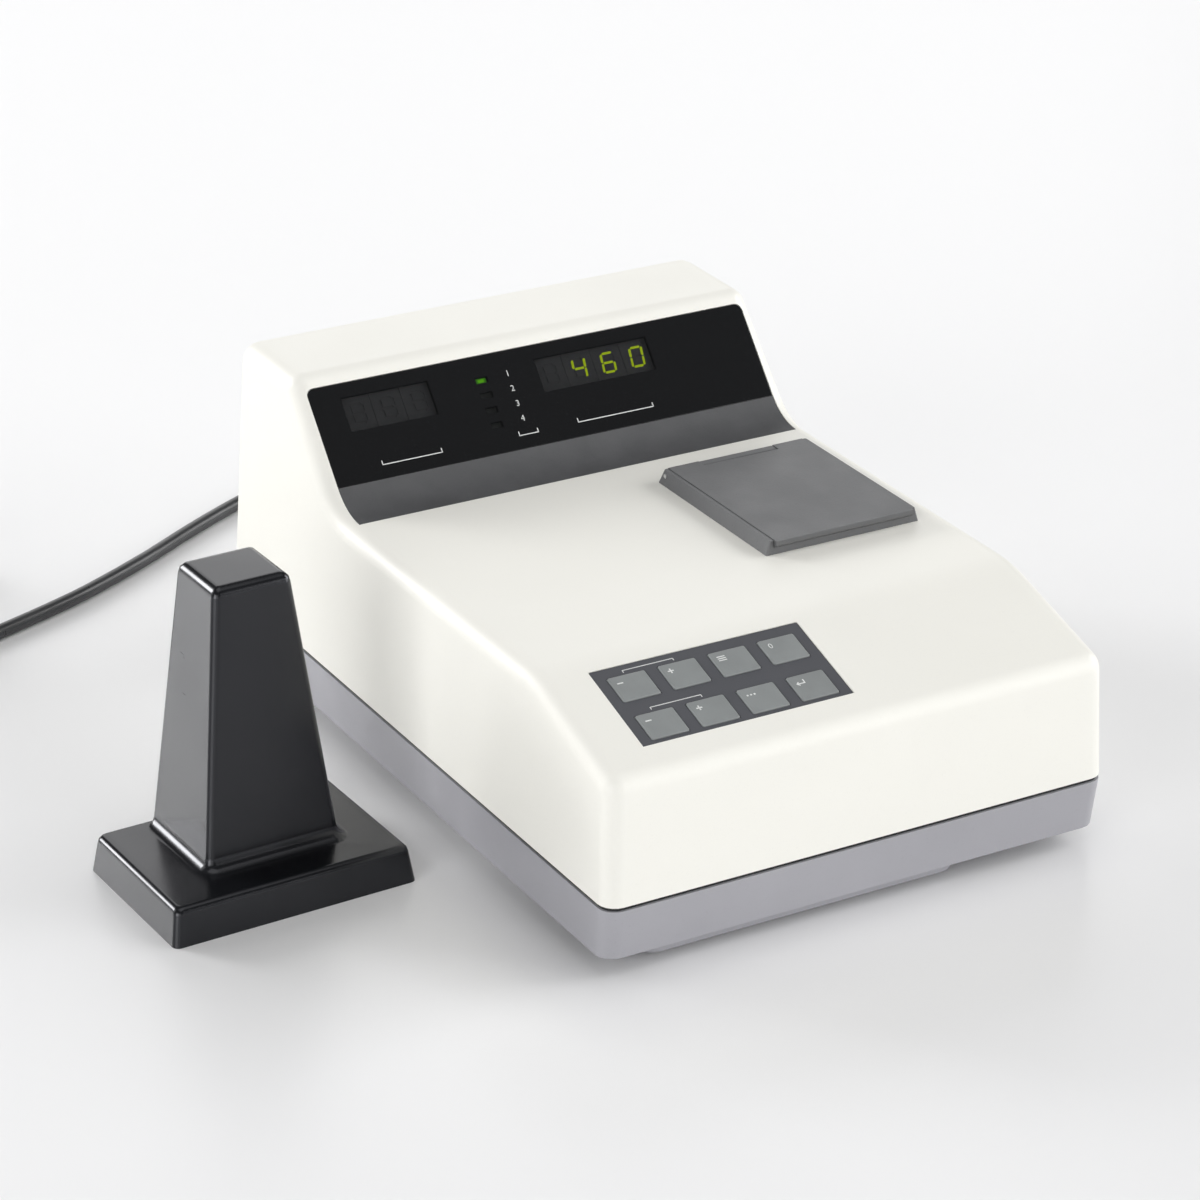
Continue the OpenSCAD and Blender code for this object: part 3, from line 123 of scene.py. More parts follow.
# the nodes of one tree, in a material or in the sky
class NodeTree:
    def __init__(self, tree):
        self.tree = tree

    def node(self, kind, settings=None, sockets=None):  # settings first, then socket values or links
        made = self.tree.nodes.new(kind)
        for key, value in (settings or {}).items():
            if key == "stops":
                self.setStops(made.color_ramp.elements, value)
            else:
                setattr(made, key, value)
        for key, value in (sockets or {}).items():
            if isinstance(value, Wire):
                self.tree.links.new(value.socket, made.inputs[key])
            else:
                made.inputs[key].default_value = value
        return made

    def setStops(self, ramp, stops):
        while len(ramp) < len(stops):
            ramp.new(0.5)
        for stop, (spot, colour) in zip(ramp, stops):
            stop.position = spot
            stop.color = colour

    def out(self, kind, settings=None, sockets=None, output=0):
        return Wire(self, self.node(kind, settings, sockets).outputs[output])


# a material with one main shader; constants go straight to its sockets
class Finish(NodeTree):
    def __init__(self, name, **constants):
        self.material = bpy.data.materials.new(name)
        self.material.use_nodes = True
        super().__init__(self.material.node_tree)
        self.tree.nodes.clear()
        sockets = {socket.replace("_", " "): value for socket, value in constants.items()}
        self.shader = self.node("ShaderNodeBsdfPrincipled", None, sockets)
        self.node("ShaderNodeOutputMaterial", None, {"Surface": Wire(self, self.shader.outputs[0])})
        self.place = self.out("ShaderNodeTexCoord", output="Object")

    def feed(self, **wires):
        for name, wire in wires.items():
            self.tree.links.new(wire.socket, self.shader.inputs[name.replace("_", " ")])

    def noise(self, scale, detail=2.0, stretch=None, rough=0.5):
        where = self.place
        if stretch:
            where = self.out("ShaderNodeMapping", None, {"Vector": where, "Scale": stretch})
        sockets = {"Vector": where, "Scale": scale, "Detail": detail, "Roughness": rough}
        return self.out("ShaderNodeTexNoise", None, sockets)

    def cells(self, scale):
        return self.out("ShaderNodeTexVoronoi", None, {"Vector": self.place, "Scale": scale}, "Distance")

    def between(self, low, high, wire):  # the middle half of a noise, spread from low to high
        sockets = {"Value": wire, "From Min": 0.25, "From Max": 0.75, "To Min": low, "To Max": high}
        return self.out("ShaderNodeMapRange", None, sockets)

    def blend(self, factor, first, second):  # colours as tuples or wires
        ends = [(*end, 1.0) if isinstance(end, tuple) else end for end in (first, second)]
        return self.out("ShaderNodeMix", {"data_type": "RGBA"}, {0: factor, 6: ends[0], 7: ends[1]}, 2)

    def mottle(self, wire, first, second):
        return self.blend(self.between(0.0, 1.0, wire), first, second)

    def relief(self, height, strength, depth):
        sockets = {"Height": height, "Strength": strength, "Distance": depth}
        return self.out("ShaderNodeBump", None, sockets)


def shade(colour, factor):
    return tuple(c * factor for c in colour)


# moulded plastic: fine spark-erosion texture, faint cloudiness, rubbed patches of gloss
mouldSet = {"ior": 1.48, "pitScale": 0.6, "pitDepth": 0.6, "speckScale": 0.8, "speckAbove": 0.68,
            "speckShade": 0.55, "rubScale": 3.1, "fineGloss": 0.06}


def mouldedPlastic(name, s):
    m = mouldSet
    f = Finish(name, IOR=m["ior"])
    cloud = f.noise(s["cloud"], 3.0)
    fine = f.noise(s["grain"], 2.0)
    pits = f.cells(s["grain"] * m["pitScale"])
    tint = f.mottle(cloud, shade(s["colour"], 1 - s["vary"]), shade(s["colour"], 1 + s["vary"]))
    speck = (f.noise(s["grain"] * m["speckScale"], 1.0) > m["speckAbove"]) * s["speck"]
    rub = f.noise(s["cloud"] * m["rubScale"], 4.0)
    f.feed(Base_Color=f.blend(speck, tint, shade(s["colour"], m["speckShade"])))
    f.feed(Roughness=f.between(*s["rough"], rub) + (fine - 0.5) * m["fineGloss"])
    f.feed(Normal=f.relief(fine + pits * m["pitDepth"], s["relief"], s["depth"]))
    return f.material


# smooth gloss plastic, vacuum formed: slow waves, hair scratches and dust-dull patches; its reflections
# carry a painted tint, the colour of the lights
glossSet = {"scratchScale": 60.0, "scratchStretch": (1.0, 1.0, 22.0), "scratchAbove": 0.71,
            "scratchDull": 0.05, "dullScale": 2.3, "dullRough": 0.62, "peelDepth": 0.05}


def glossPlastic(name, s):
    g = glossSet
    # the specular tint paints the bluish colour of the lights into the reflections
    f = Finish(name, IOR=s["ior"], Specular_Tint=(*s["tint"], 1.0))
    wave = f.noise(s["wave"], 1.0)
    scratch = f.noise(g["scratchScale"], 3.0, g["scratchStretch"]) > g["scratchAbove"]
    dull = f.noise(s["wave"] * g["dullScale"], 5.0, None, g["dullRough"])
    f.feed(Base_Color=f.mottle(dull, s["colour"], s["dust"]))
    f.feed(Roughness=f.between(*s["rough"], dull) + scratch * g["scratchDull"])
    f.feed(Normal=f.relief(wave + f.noise(s["peel"], 2.0) * g["peelDepth"], s["relief"], s["depth"]))
    return f.material


# metal with a drawn grain along one axis
metalSet = {"stainScale": 35.0, "stainShade": 0.86, "depth": 0.0002}


def drawnMetal(name, s):
    f = Finish(name, Metallic=1.0)
    lines = f.noise(s["grain"], 4.0, s["along"])
    stain = f.noise(metalSet["stainScale"], 3.0)
    f.feed(Base_Color=f.mottle(stain, shade(s["colour"], metalSet["stainShade"]), s["colour"]))
    f.feed(Roughness=f.between(*s["rough"], lines))
    f.feed(Normal=f.relief(lines, s["relief"], metalSet["depth"]))
    return f.material


# painted or cast metal: pebbled skin
castSet = {"cloudScale": 45.0, "cloudShades": (0.85, 1.08), "cloudDepth": 0.4, "relief": 0.35,
           "depth": 0.0003}


def castSkin(name, s):
    f = Finish(name, Metallic=s["metal"])
    pebble = f.cells(s["grain"])
    cloud = f.noise(castSet["cloudScale"], 4.0)
    f.feed(Base_Color=f.mottle(cloud, *(shade(s["colour"], factor) for factor in castSet["cloudShades"])))
    f.feed(Roughness=f.between(*s["rough"], cloud))
    f.feed(Normal=f.relief(pebble + cloud * castSet["cloudDepth"], castSet["relief"], castSet["depth"]))
    return f.material


# circuit board: solder mask over copper runs
boardSet = {"runWidth": 0.012, "runShow": 0.6, "cloudScale": 60.0, "cloudShade": 0.8,
            "rough": (0.25, 0.4), "relief": 0.2, "depth": 0.0001}


def circuitMask(name, s):
    b = boardSet
    f = Finish(name, IOR=1.5)
    runs = f.out("ShaderNodeTexBrick", {"offset": 0.5},
                 {"Vector": f.place, "Scale": s["scale"], "Mortar Size": b["runWidth"]}, "Fac")
    cloud = f.noise(b["cloudScale"], 2.0)
    mask = f.mottle(cloud, shade(s["colour"], b["cloudShade"]), s["colour"])
    f.feed(Base_Color=f.blend(runs * b["runShow"], mask, s["copper"]))
    f.feed(Roughness=f.between(*b["rough"], cloud))
    f.feed(Normal=f.relief(runs, b["relief"], b["depth"]))
    return f.material


# glass and mirror faces: clear or metallic body with faint bloom
glassSet = {"ior": 1.5, "bloomScale": 90.0, "bloomShade": 0.94, "rough": (0.02, 0.09)}


def clearGlass(name, s):
    f = Finish(name, IOR=glassSet["ior"], Transmission_Weight=s["clear"], Metallic=s["metal"])
    bloom = f.noise(glassSet["bloomScale"], 4.0)
    f.feed(Base_Color=f.mottle(bloom, shade(s["colour"], glassSet["bloomShade"]), s["colour"]))
    f.feed(Roughness=f.between(*glassSet["rough"], bloom))
    return f.material


finishSet = {
    "cover_cream": (mouldedPlastic, {
        "colour": (0.85, 0.84, 0.785), "vary": 0.012, "cloud": 9.0, "grain": 1500.0, "speck": 0.05,
        "rough": (0.42, 0.5), "relief": 0.12, "depth": 0.0001}),
    "tray_grey": (mouldedPlastic, {
        "colour": (0.355, 0.352, 0.379), "vary": 0.05, "cloud": 14.0, "grain": 1300.0, "speck": 0.1,
        "rough": (0.36, 0.48), "relief": 0.2, "depth": 0.00012}),
    "slate_grey": (mouldedPlastic, {
        "colour": (0.118, 0.12, 0.124), "vary": 0.06, "cloud": 16.0, "grain": 1250.0, "speck": 0.3,
        "rough": (0.42, 0.54), "relief": 0.34, "depth": 0.00015}),
    "band_grey": (mouldedPlastic, {
        "colour": (0.071, 0.072, 0.0755), "vary": 0.12, "cloud": 60.0, "grain": 1250.0, "speck": 0.25,
        "rough": (0.5, 0.62), "relief": 0.3, "depth": 0.00015}),
    "label_slate": (mouldedPlastic, {
        "colour": (0.075, 0.077, 0.087), "vary": 0.04, "cloud": 40.0, "grain": 2200.0, "speck": 0.15,
        "rough": (0.4, 0.5), "relief": 0.14, "depth": 0.00008}),
    "key_grey": (mouldedPlastic, {
        "colour": (0.24, 0.254, 0.254), "vary": 0.07, "cloud": 70.0, "grain": 2000.0, "speck": 0.1,
        "rough": (0.34, 0.46), "relief": 0.14, "depth": 0.00008}),
    # seal_black: the seam strip is near black, partly the strip's own colour and partly painted shade of
    # the seam groove
    "seal_black": (mouldedPlastic, {
        "colour": (0.018, 0.018, 0.019), "vary": 0.2, "cloud": 60.0, "grain": 900.0, "speck": 0.0,
        "rough": (0.6, 0.8), "relief": 0.3, "depth": 0.0002}),
    "well_black": (mouldedPlastic, {
        "colour": (0.022, 0.022, 0.024), "vary": 0.15, "cloud": 40.0, "grain": 900.0, "speck": 0.0,
        "rough": (0.55, 0.7), "relief": 0.3, "depth": 0.0002}),
    "digit_face": (mouldedPlastic, {
        "colour": (0.106, 0.108, 0.113), "vary": 0.1, "cloud": 80.0, "grain": 1500.0, "speck": 0.0,
        "rough": (0.45, 0.6), "relief": 0.1, "depth": 0.0001}),
    "lamp_green": (mouldedPlastic, {
        "colour": (0.075, 0.084, 0.075), "vary": 0.15, "cloud": 200.0, "grain": 1500.0, "speck": 0.0,
        "rough": (0.3, 0.45), "relief": 0.1, "depth": 0.0001}),
    "inlet_black": (mouldedPlastic, {
        "colour": (0.02, 0.02, 0.021), "vary": 0.12, "cloud": 50.0, "grain": 1200.0, "speck": 0.0,
        "rough": (0.32, 0.46), "relief": 0.22, "depth": 0.00012}),
    "lead_black": (mouldedPlastic, {
        "colour": (0.036, 0.037, 0.039), "vary": 0.15, "cloud": 30.0, "grain": 1000.0, "speck": 0.0,
        "rough": (0.26, 0.38), "relief": 0.2, "depth": 0.00015}),
    "tie_black": (mouldedPlastic, {
        "colour": (0.03, 0.03, 0.032), "vary": 0.15, "cloud": 50.0, "grain": 700.0, "speck": 0.0,
        "rough": (0.55, 0.7), "relief": 0.5, "depth": 0.0003}),
    "motor_grey": (castSkin, {
        "colour": (0.12, 0.125, 0.13), "metal": 0.3, "grain": 700.0, "rough": (0.35, 0.5)}),
    "core_steel": (castSkin, {
        "colour": (0.14, 0.105, 0.075), "metal": 0.5, "grain": 300.0, "rough": (0.45, 0.65)}),
    "bench_cast": (castSkin, {
        "colour": (0.42, 0.43, 0.44), "metal": 0.8, "grain": 500.0, "rough": (0.4, 0.6)}),
    "black_metal": (castSkin, {
        "colour": (0.03, 0.03, 0.032), "metal": 0.4, "grain": 900.0, "rough": (0.4, 0.55)}),
    "hood_black": (glossPlastic, {
        "colour": (0.004, 0.0043, 0.0054), "dust": (0.0072, 0.0077, 0.0092), "ior": 1.5,
        # tint: painted bluish light colour laid on the hood's reflections
        "tint": (0.93, 0.94, 1.0), "wave": 9.0, "peel": 420.0, "rough": (0.17, 0.25), "relief": 0.06,
        "depth": 0.0018}),
    "screw_steel": (drawnMetal, {
        "colour": (0.7, 0.71, 0.72), "grain": 500.0, "along": (0.1, 1.0, 1.0), "rough": (0.22, 0.36),
        "relief": 0.1}),
    "spring_steel": (drawnMetal, {
        "colour": (0.66, 0.68, 0.7), "grain": 600.0, "along": (1.0, 1.0, 0.1), "rough": (0.18, 0.3),
        "relief": 0.1}),
    "sheet_metal": (drawnMetal, {
        "colour": (0.6, 0.61, 0.6), "grain": 420.0, "along": (0.08, 1.0, 1.0), "rough": (0.3, 0.46),
        "relief": 0.14}),
    "pinion_brass": (drawnMetal, {
        "colour": (0.72, 0.5, 0.2), "grain": 600.0, "along": (1.0, 1.0, 0.1), "rough": (0.2, 0.34),
        "relief": 0.1}),
    "circuit_green": (circuitMask, {
        "colour": (0.02, 0.13, 0.06), "copper": (0.05, 0.24, 0.11), "scale": 90.0}),
    "lamp_glass": (clearGlass, {"colour": (0.93, 0.95, 0.95), "clear": 0.8, "metal": 0.0}),
    "lens_glass": (clearGlass, {"colour": (0.9, 0.96, 0.98), "clear": 0.9, "metal": 0.0}),
    "mirror_face": (clearGlass, {"colour": (0.92, 0.93, 0.94), "clear": 0.0, "metal": 1.0}),
    "grating_blue": (clearGlass, {"colour": (0.4, 0.5, 0.72), "clear": 0.0, "metal": 0.9}),
}
finishes = {slot: make(slot + "Finish", s) for slot, (make, s) in finishSet.items()}


# the display window: smoked gloss sheet, clear over the digits and the mode lamps, by a map of its face
windowSet = {"digits": ((-86.9, 36.9, 24.9, 9.4), (33.7, 36.9, 33.6, 9.4)),  # middle and half size
             "lampSize": (3.5, 1.7), "lampX": -32.4, "lampRows": (40.7, 32.3, 23.9, 15.5),
             "colour": (0.0075, 0.0078, 0.0085), "seeThrough": 0.62, "rough": (0.04, 0.13),
             "dustColour": (0.16, 0.16, 0.17), "dustScale": 2600.0, "dustAbove": 0.76, "dustShow": 0.25,
             "smearScale": 22.0, "smearStretch": (1.0, 3.0, 3.0), "smearRough": 0.6,
             "waveScale": 8.0, "relief": 0.05, "depth": 0.002}


def windowFinish(s):
    f = Finish("windowBlackFinish", IOR=1.5)
    split = f.node("ShaderNodeSeparateXYZ", None, {0: f.out("ShaderNodeUVMap", {"uv_map": "panelMap"})})
    across = Wire(f, split.outputs[0]) * (1 / mm)
    upward = Wire(f, split.outputs[1]) * (1 / mm)
    lamps = [(s["lampX"], row, *s["lampSize"]) for row in s["lampRows"]]
    clear = None
    for x, y, halfX, halfY in (*s["digits"], *lamps):
        spot = (abs(across - x) < halfX) * (abs(upward - y) < halfY)
        clear = spot if clear is None else clear + spot
    smear = f.noise(s["smearScale"], 5.0, s["smearStretch"], s["smearRough"])
    dust = f.noise(s["dustScale"], 1.0) > s["dustAbove"]
    f.feed(Base_Color=f.blend(dust * s["dustShow"], s["colour"], s["dustColour"]))
    f.feed(Roughness=f.between(*s["rough"], smear))
    f.feed(Alpha=1.0 - clear * s["seeThrough"])
    f.feed(Normal=f.relief(f.noise(s["waveScale"], 1.0), s["relief"], s["depth"]))
    return f.material


finishes["window_black"] = windowFinish(windowSet)
print("finishes made:", len(finishes))

# light-giving plastic, a little uneven
glowSet = {"rough": 0.4, "grain": 900.0, "faceShades": (0.05, 0.07), "dimShade": 0.82}


def glowFinish(name, colour, strength):
    f = Finish(name, Roughness=glowSet["rough"], Emission_Strength=strength)
    core = f.between(0.0, 1.0, f.noise(glowSet["grain"], 2.0))
    f.feed(Base_Color=f.blend(core, *(shade(colour, factor) for factor in glowSet["faceShades"])))
    f.feed(Emission_Color=f.blend(core, shade(colour, glowSet["dimShade"]), colour))
    return f.material


# white screen print, a little worn
inkSet = {"ior": 1.45, "wearScale": 700.0, "wornShade": 0.82, "rough": (0.4, 0.55)}


def inkFinish(name, colour):
    f = Finish(name, IOR=inkSet["ior"])
    wear = f.noise(inkSet["wearScale"], 3.0)
    f.feed(Base_Color=f.mottle(wear, shade(colour, inkSet["wornShade"]), colour))
    f.feed(Roughness=f.between(*inkSet["rough"], wear))
    return f.material


segmentGlow = glowFinish("segmentGlow", (0.42, 0.56, 0.004), 1.6)
lampGlow = glowFinish("lampGlow", (0.12, 0.5, 0.004), 1.5)
lampRim = glowFinish("lampRim", (0.05, 0.24, 0.006), 1.2)
windowInk = inkFinish("windowInk", (0.72, 0.73, 0.72))
keyInk = inkFinish("keyInk", (0.8, 0.81, 0.8))
print("lights and inks made")


def settle(piece, finish, body, stands=()):  # every piece: its finish, its body, its slot
    piece.data.materials.clear()
    piece.data.materials.append(finish)
    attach(piece, body)
    if stands:
        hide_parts(*stands)
    return piece


def fromMesh(name, bm, finish, body, stands=()):
    mesh = bpy.data.meshes.new(name)
    bm.to_mesh(mesh)
    bm.free()
    piece = bpy.data.objects.new(name, mesh)
    scene.collection.objects.link(piece)
    return settle(piece, finish, body, stands)


def edgesOver(bm, degrees):
    joined = [edge for edge in bm.edges if len(edge.link_faces) == 2]
    return [edge for edge in joined if edge.calc_face_angle(0.0) > math.radians(degrees)]


def softEdges(bm, sharpAngle):
    for face in bm.faces:
        face.smooth = True
    for edge in bm.edges:
        edge.smooth = len(edge.link_faces) == 2 and edge.calc_face_angle(0.0) < math.radians(sharpAngle)


# a CAD piece with its facets joined, its sharp edges rounded and its faces shaded smooth
usualDress = {"weld": 0.008, "flat": 0.6, "from": 40, "steps": 2, "sharp": 38}


def dressed(node, changes):
    s = {**usualDress, **changes}
    bm = bmesh.new()
    bm.from_mesh(nodes[node].data)
    bmesh.ops.remove_doubles(bm, verts=bm.verts, dist=s["weld"] * mm)
    bmesh.ops.dissolve_limit(bm, angle_limit=math.radians(s["flat"]), verts=bm.verts, edges=bm.edges)
    if s["edge"]:
        bmesh.ops.bevel(bm, geom=edgesOver(bm, s["from"]), offset=s["edge"] * mm, segments=s["steps"],
                        profile=0.5, affect="EDGES", material=-1, clamp_overlap=True, loop_slide=True)
    softEdges(bm, s["sharp"])
    slot = slotOf[node]
    piece = fromMesh(node + "Dressed", bm, finishes[slot], bodyOf[node], (node,))
    weigh = piece.modifiers.new("evenShading", "WEIGHTED_NORMAL")
    weigh.keep_sharp = True
    return piece


# the power lead: out of the inlet, down to the bench, off to the left, and the rest in a tied coil
leadSet = {"diameter": 7.8, "exit": (60, 447.065, 68.839),
           "route": ((60, 470, 69), (59, 496, 61), (56, 520, 45), (51, 541, 27), (43, 561, 12),
                     (29, 577, 5), (8, 587, 4.2), (-14, 588, 4.2), (-38, 581, 4.2), (-61, 571, 4.2),
                     (-97, 551, 4.2), (-138, 526, 4.2), (-183, 502, 4.2), (-211, 490, 4.2),
                     (-243, 478, 4.2), (-270, 468, 4.6)),
           "coil": (-318, 510), "coilRadius": 55, "pitch": 8.8, "low": 5.1, "start": -70,
           "half": 29 / 12 + 0.25, "steps": 24,  # turns in one layer, points in a turn
           "tail": ((-367, 542, 13.9), (-359, 558, 13.8), (-346, 571, 13.6), (-330, 579, 13.5)),
           "plug": (-312, 581, 13.5), "roundSteps": 5, "runSteps": 4,
           "ends": {"cord_connector": {"edge": 0.6, "steps": 3}, "mains_plug": {"edge": 0.5},
                    "coil_tie": {"edge": 0.2}}}


def coilPoint(s, t):  # winds in on the bench, climbs half a turn, winds out again on top
    past = t - s["half"]
    radius = s["coilRadius"] - s["pitch"] * (s["half"] - abs(past))
    climb = max(0.0, min(1.0, 2 * past + 0.5))
    angle = math.radians(s["start"] - 360 * t)
    return Vector((s["coil"][0] + radius * math.cos(angle), s["coil"][1] + radius * math.sin(angle),
                   s["low"] + s["pitch"] * climb * climb * (3 - 2 * climb)))


def makeLead(s):
    turns = [coilPoint(s, i / s["steps"]) for i in range(int(2 * s["half"] * s["steps"] + 0.5) + 1)]
    points = [onBench(*p) for p in (Vector(s["exit"]), *map(Vector, s["route"]), *turns,
                                    *map(Vector, s["tail"]), Vector(s["plug"]))]
    curve = bpy.data.curves.new("powerLead", "CURVE")
    curve.dimensions = "3D"
    curve.bevel_depth = s["diameter"] / 2 * mm
    curve.bevel_resolution = s["roundSteps"]
    curve.resolution_u = s["runSteps"]
    curve.use_fill_caps = True
    spline = curve.splines.new("BEZIER")
    spline.bezier_points.add(len(points) - 1)
    for i, spot in enumerate(points):  # handles from the neighbours, so that the line runs on smoothly
        before = points[max(i - 1, 0)]
        after = points[min(i + 1, len(points) - 1)]
        pull = (after - before).normalized()
        knot = spline.bezier_points[i]
        knot.co = spot
        knot.handle_left_type = "FREE"
        knot.handle_right_type = "FREE"
        knot.handle_left = spot - pull * (spot - before).length / 3
        knot.handle_right = spot + pull * (after - spot).length / 3
    lead = bpy.data.objects.new("powerLead", curve)
    scene.collection.objects.link(lead)
    settle(lead, finishes["lead_black"], "case", ("power_cord", "cord_coil", "cord_tail"))
    ends = [dressed(node, changes) for node, changes in s["ends"].items()]


makeLead(leadSet)

# case, lid, hood, back plate and keys
keyNumbers = range(1, 9)
dressSet = {
    "top_cover": {"edge": 0.35, "from": 50, "sharp": 40},
    "base_tray": {"edge": 0.7, "steps": 3, "from": 50},
    # seam_seal: a black strip that also paints the shade of the seam groove between cover and tray
    "seam_seal": {"edge": 0.2}, "rubber_feet": {"edge": 0.3}, "display_band": {"edge": 0.15},
    "keypad_label": {"edge": 0.12}, "compartment_frame": {"edge": 0.45},
    "sample_lid": {"edge": 0.45, "steps": 3}, "tall_hood": {"edge": 0.0, "sharp": 50},
    "rear_panel": {"edge": 0.3}, "mains_inlet": {"edge": 0.4},
    "switch_body": {"edge": 0.3}, "power_rocker": {"edge": 0.3}, "lid_pin": {"edge": 0.2},
    **{"key_%d" % i: {"edge": 0.3, "steps": 3, "from": 30} for i in keyNumbers}}
for node, changes in dressSet.items():
    dressed(node, changes)
print("moulded pieces dressed:", len(dressSet))


# the two leaning faces that carry prints and lights, in millimetres from a spot on each
def facePlace(spot, lean):
    return Matrix.Translation(onBench(*spot)) @ turned(lean, "X") @ Matrix.Scale(mm, 4)


panelPlace = facePlace((0, 292.774, 134.863), 49)
slopePlace = facePlace((0, 0, 100.7), 16.7)


def dressWindow():  # with a map of where each corner lies on the face
    piece = dressed("display_window", {"edge": 0.35, "steps": 3})
    bm = bmesh.new()
    bm.from_mesh(piece.data)
    layer = bm.loops.layers.uv.new("panelMap")
    back = panelPlace.inverted()
    for face in bm.faces:
        for corner in face.loops:
            spot = back @ corner.vert.co
            corner[layer].uv = (spot.x * mm, spot.y * mm)
    bm.to_mesh(piece.data)
    bm.free()


dressWindow()


def bar(bm, middle, size, edge=0.0):  # a small plate, its corners rounded where asked
    made = bmesh.ops.create_cube(bm, size=1.0)["verts"]
    bmesh.ops.scale(bm, vec=size, verts=made)
    if edge:
        edges = dict.fromkeys(e for v in made for e in v.link_edges)
        upright = [e for e in edges if abs((e.verts[0].co - e.verts[1].co).z) > size[2] / 2]
        rounded = bmesh.ops.bevel(bm, geom=upright, offset=edge, segments=2, profile=0.5, affect="EDGES",
                                  material=-1)
        made = list({v for f in rounded["faces"] for v in f.verts} | {v for v in made if v.is_valid})
    bmesh.ops.translate(bm, vec=middle, verts=made)
    return made


# the reading: segments that are lit, by figure
figureSet = {"rise": 5.2, "half": 3.5, "bar": 1.25, "lean": 7.0, "low": -2.9, "high": -2.47, "mid": 37.0,
             "flatGap": 0.3, "tallGap": 0.35, "round": 0.4,
             "lit": ((25.25, "bcfg"), (42.55, "acdefg"), (59.85, "abcdef"))}


def litFigures(s):
    bm = bmesh.new()
    rise, half, wide = s["rise"], s["half"], s["bar"]
    thick = s["high"] - s["low"]
    height = (s["high"] + s["low"]) / 2
    flat = {"a": (0, rise), "g": (0, 0), "d": (0, -rise)}
    tall = {"b": (half, rise / 2), "c": (half, -rise / 2),
            "e": (-half, -rise / 2), "f": (-half, rise / 2)}
    flatSize = (2 * half - wide - s["flatGap"], wide, thick)
    tallSize = (wide, rise - wide * s["tallGap"], thick)
    slant = math.tan(math.radians(s["lean"]))
    for x, names in s["lit"]:
        for name in names:
            spot = flat.get(name) or tall[name]
            made = bar(bm, (*spot, height), flatSize if name in flat else tallSize, wide * s["round"])
            for v in made:
                v.co.x += x + slant * v.co.y
                v.co.y += s["mid"]
    bmesh.ops.transform(bm, matrix=panelPlace, verts=bm.verts)
    fromMesh("litFigures", bm, segmentGlow, "case")


litFigures(figureSet)

# the mode lamp that is lit: a bright core in a dimmer rim
lampSet = {"at": (-32.0, 40.9, -2.5), "rim": (5.9, 2.8, 0.08), "core": (3.6, 1.7, 0.14), "edge": 0.5}


def litLamp(s):
    for name, size, glow in (("litModeLamp", s["core"], lampGlow), ("litModeLampRim", s["rim"], lampRim)):
        bm = bmesh.new()
        bar(bm, s["at"], size, s["edge"])
        bmesh.ops.transform(bm, matrix=panelPlace, verts=bm.verts)
        fromMesh(name, bm, glow, "case")


litLamp(lampSet)
print("figures and lamp lit")


# plain numerals as flat prints
def numeral(bm, text, middle, size, height):
    curve = bpy.data.curves.new("numeral", "FONT")
    curve.body = text
    curve.size = size
    curve.align_x = "CENTER"
    curve.align_y = "CENTER"
    holder = bpy.data.objects.new("numeral", curve)
    scene.collection.objects.link(holder)
    bpy.context.view_layer.update()
    mesh = bpy.data.meshes.new_from_object(holder.evaluated_get(bpy.context.evaluated_depsgraph_get()))
    bpy.data.objects.remove(holder)
    bpy.data.curves.remove(curve)
    start = len(bm.verts)
    bm.from_mesh(mesh)
    bpy.data.meshes.remove(mesh)
    bm.verts.ensure_lookup_table()
    bmesh.ops.translate(bm, vec=(*middle, height), verts=bm.verts[start:])


def bracket(bm, left, right, y, s):  # a rule with a tick at each end
    bar(bm, ((left + right) / 2, y, s["height"]), (right - left, s["line"], s["thick"]))
    for x in (left, right):
        bar(bm, (x, y + s["tickShift"], s["height"]), (s["line"], s["tick"], s["thick"]))


# prints on the window: numerals beside the mode lamps, plain rules under the readings and the lamps
printSet = {"height": -0.28, "thick": 0.03, "size": 4.6, "line": 0.5, "tick": 2.5, "tickShift": 1.0,
            "numeralX": -17.0, "numerals": {"1": 41.4, "2": 33.0, "3": 24.6, "4": 16.2},
            "rules": ((-101.0, -67.0, 7.4), (13.0, 58.0, 8.0), (-22.0, -11.0, 7.4))}


def windowPrints(s):
    bm = bmesh.new()
    for text, y in s["numerals"].items():
        numeral(bm, text, (s["numeralX"], y), s["size"], s["height"])
    for left, right, y in s["rules"]:
        bracket(bm, left, right, y, s)
    bmesh.ops.transform(bm, matrix=panelPlace, verts=bm.verts)
    fromMesh("windowPrints", bm, windowInk, "case")


windowPrints(printSet)

# prints on the keys: plus and minus on the paired keys, plain signs on the rest
signSet = {"columns": (-93.5, -66.3, -39.1, -11.9), "rows": (59.6, 32.4), "signAt": (-5.6, 3.4),
           "top": 0.215, "thick": 0.03, "line": 0.75, "arm": 3.2, "fine": 0.6,
           "listShift": 0.6, "listPitch": 1.3, "listLong": 4.4,
           "zeroShift": 0.4, "zeroSize": 4.6, "zeroLift": 0.01,
           "dotStart": -1.0, "dotPitch": 1.9, "dot": 1.0, "dotRound": 0.3,
           "stem": (0.8, -0.8), "stemLong": 4.6, "hook": (2.8, 0.4), "hookLong": 2.4,
           "head": (-0.9, -0.8), "headLong": 1.9, "headTurn": 40, "headSpread": 0.52}


def minusSign(bm, x, y, s):
    bar(bm, (x, y, s["top"]), (s["arm"], s["line"], s["thick"]))


def plusSign(bm, x, y, s):
    minusSign(bm, x, y, s)
    bar(bm, (x, y, s["top"]), (s["line"], s["arm"], s["thick"]))


def listSign(bm, x, y, s):  # three short lines
    for k in (-1, 0, 1):
        spot = (x + s["listShift"], y + k * s["listPitch"], s["top"])
        bar(bm, spot, (s["listLong"], s["fine"], s["thick"]))


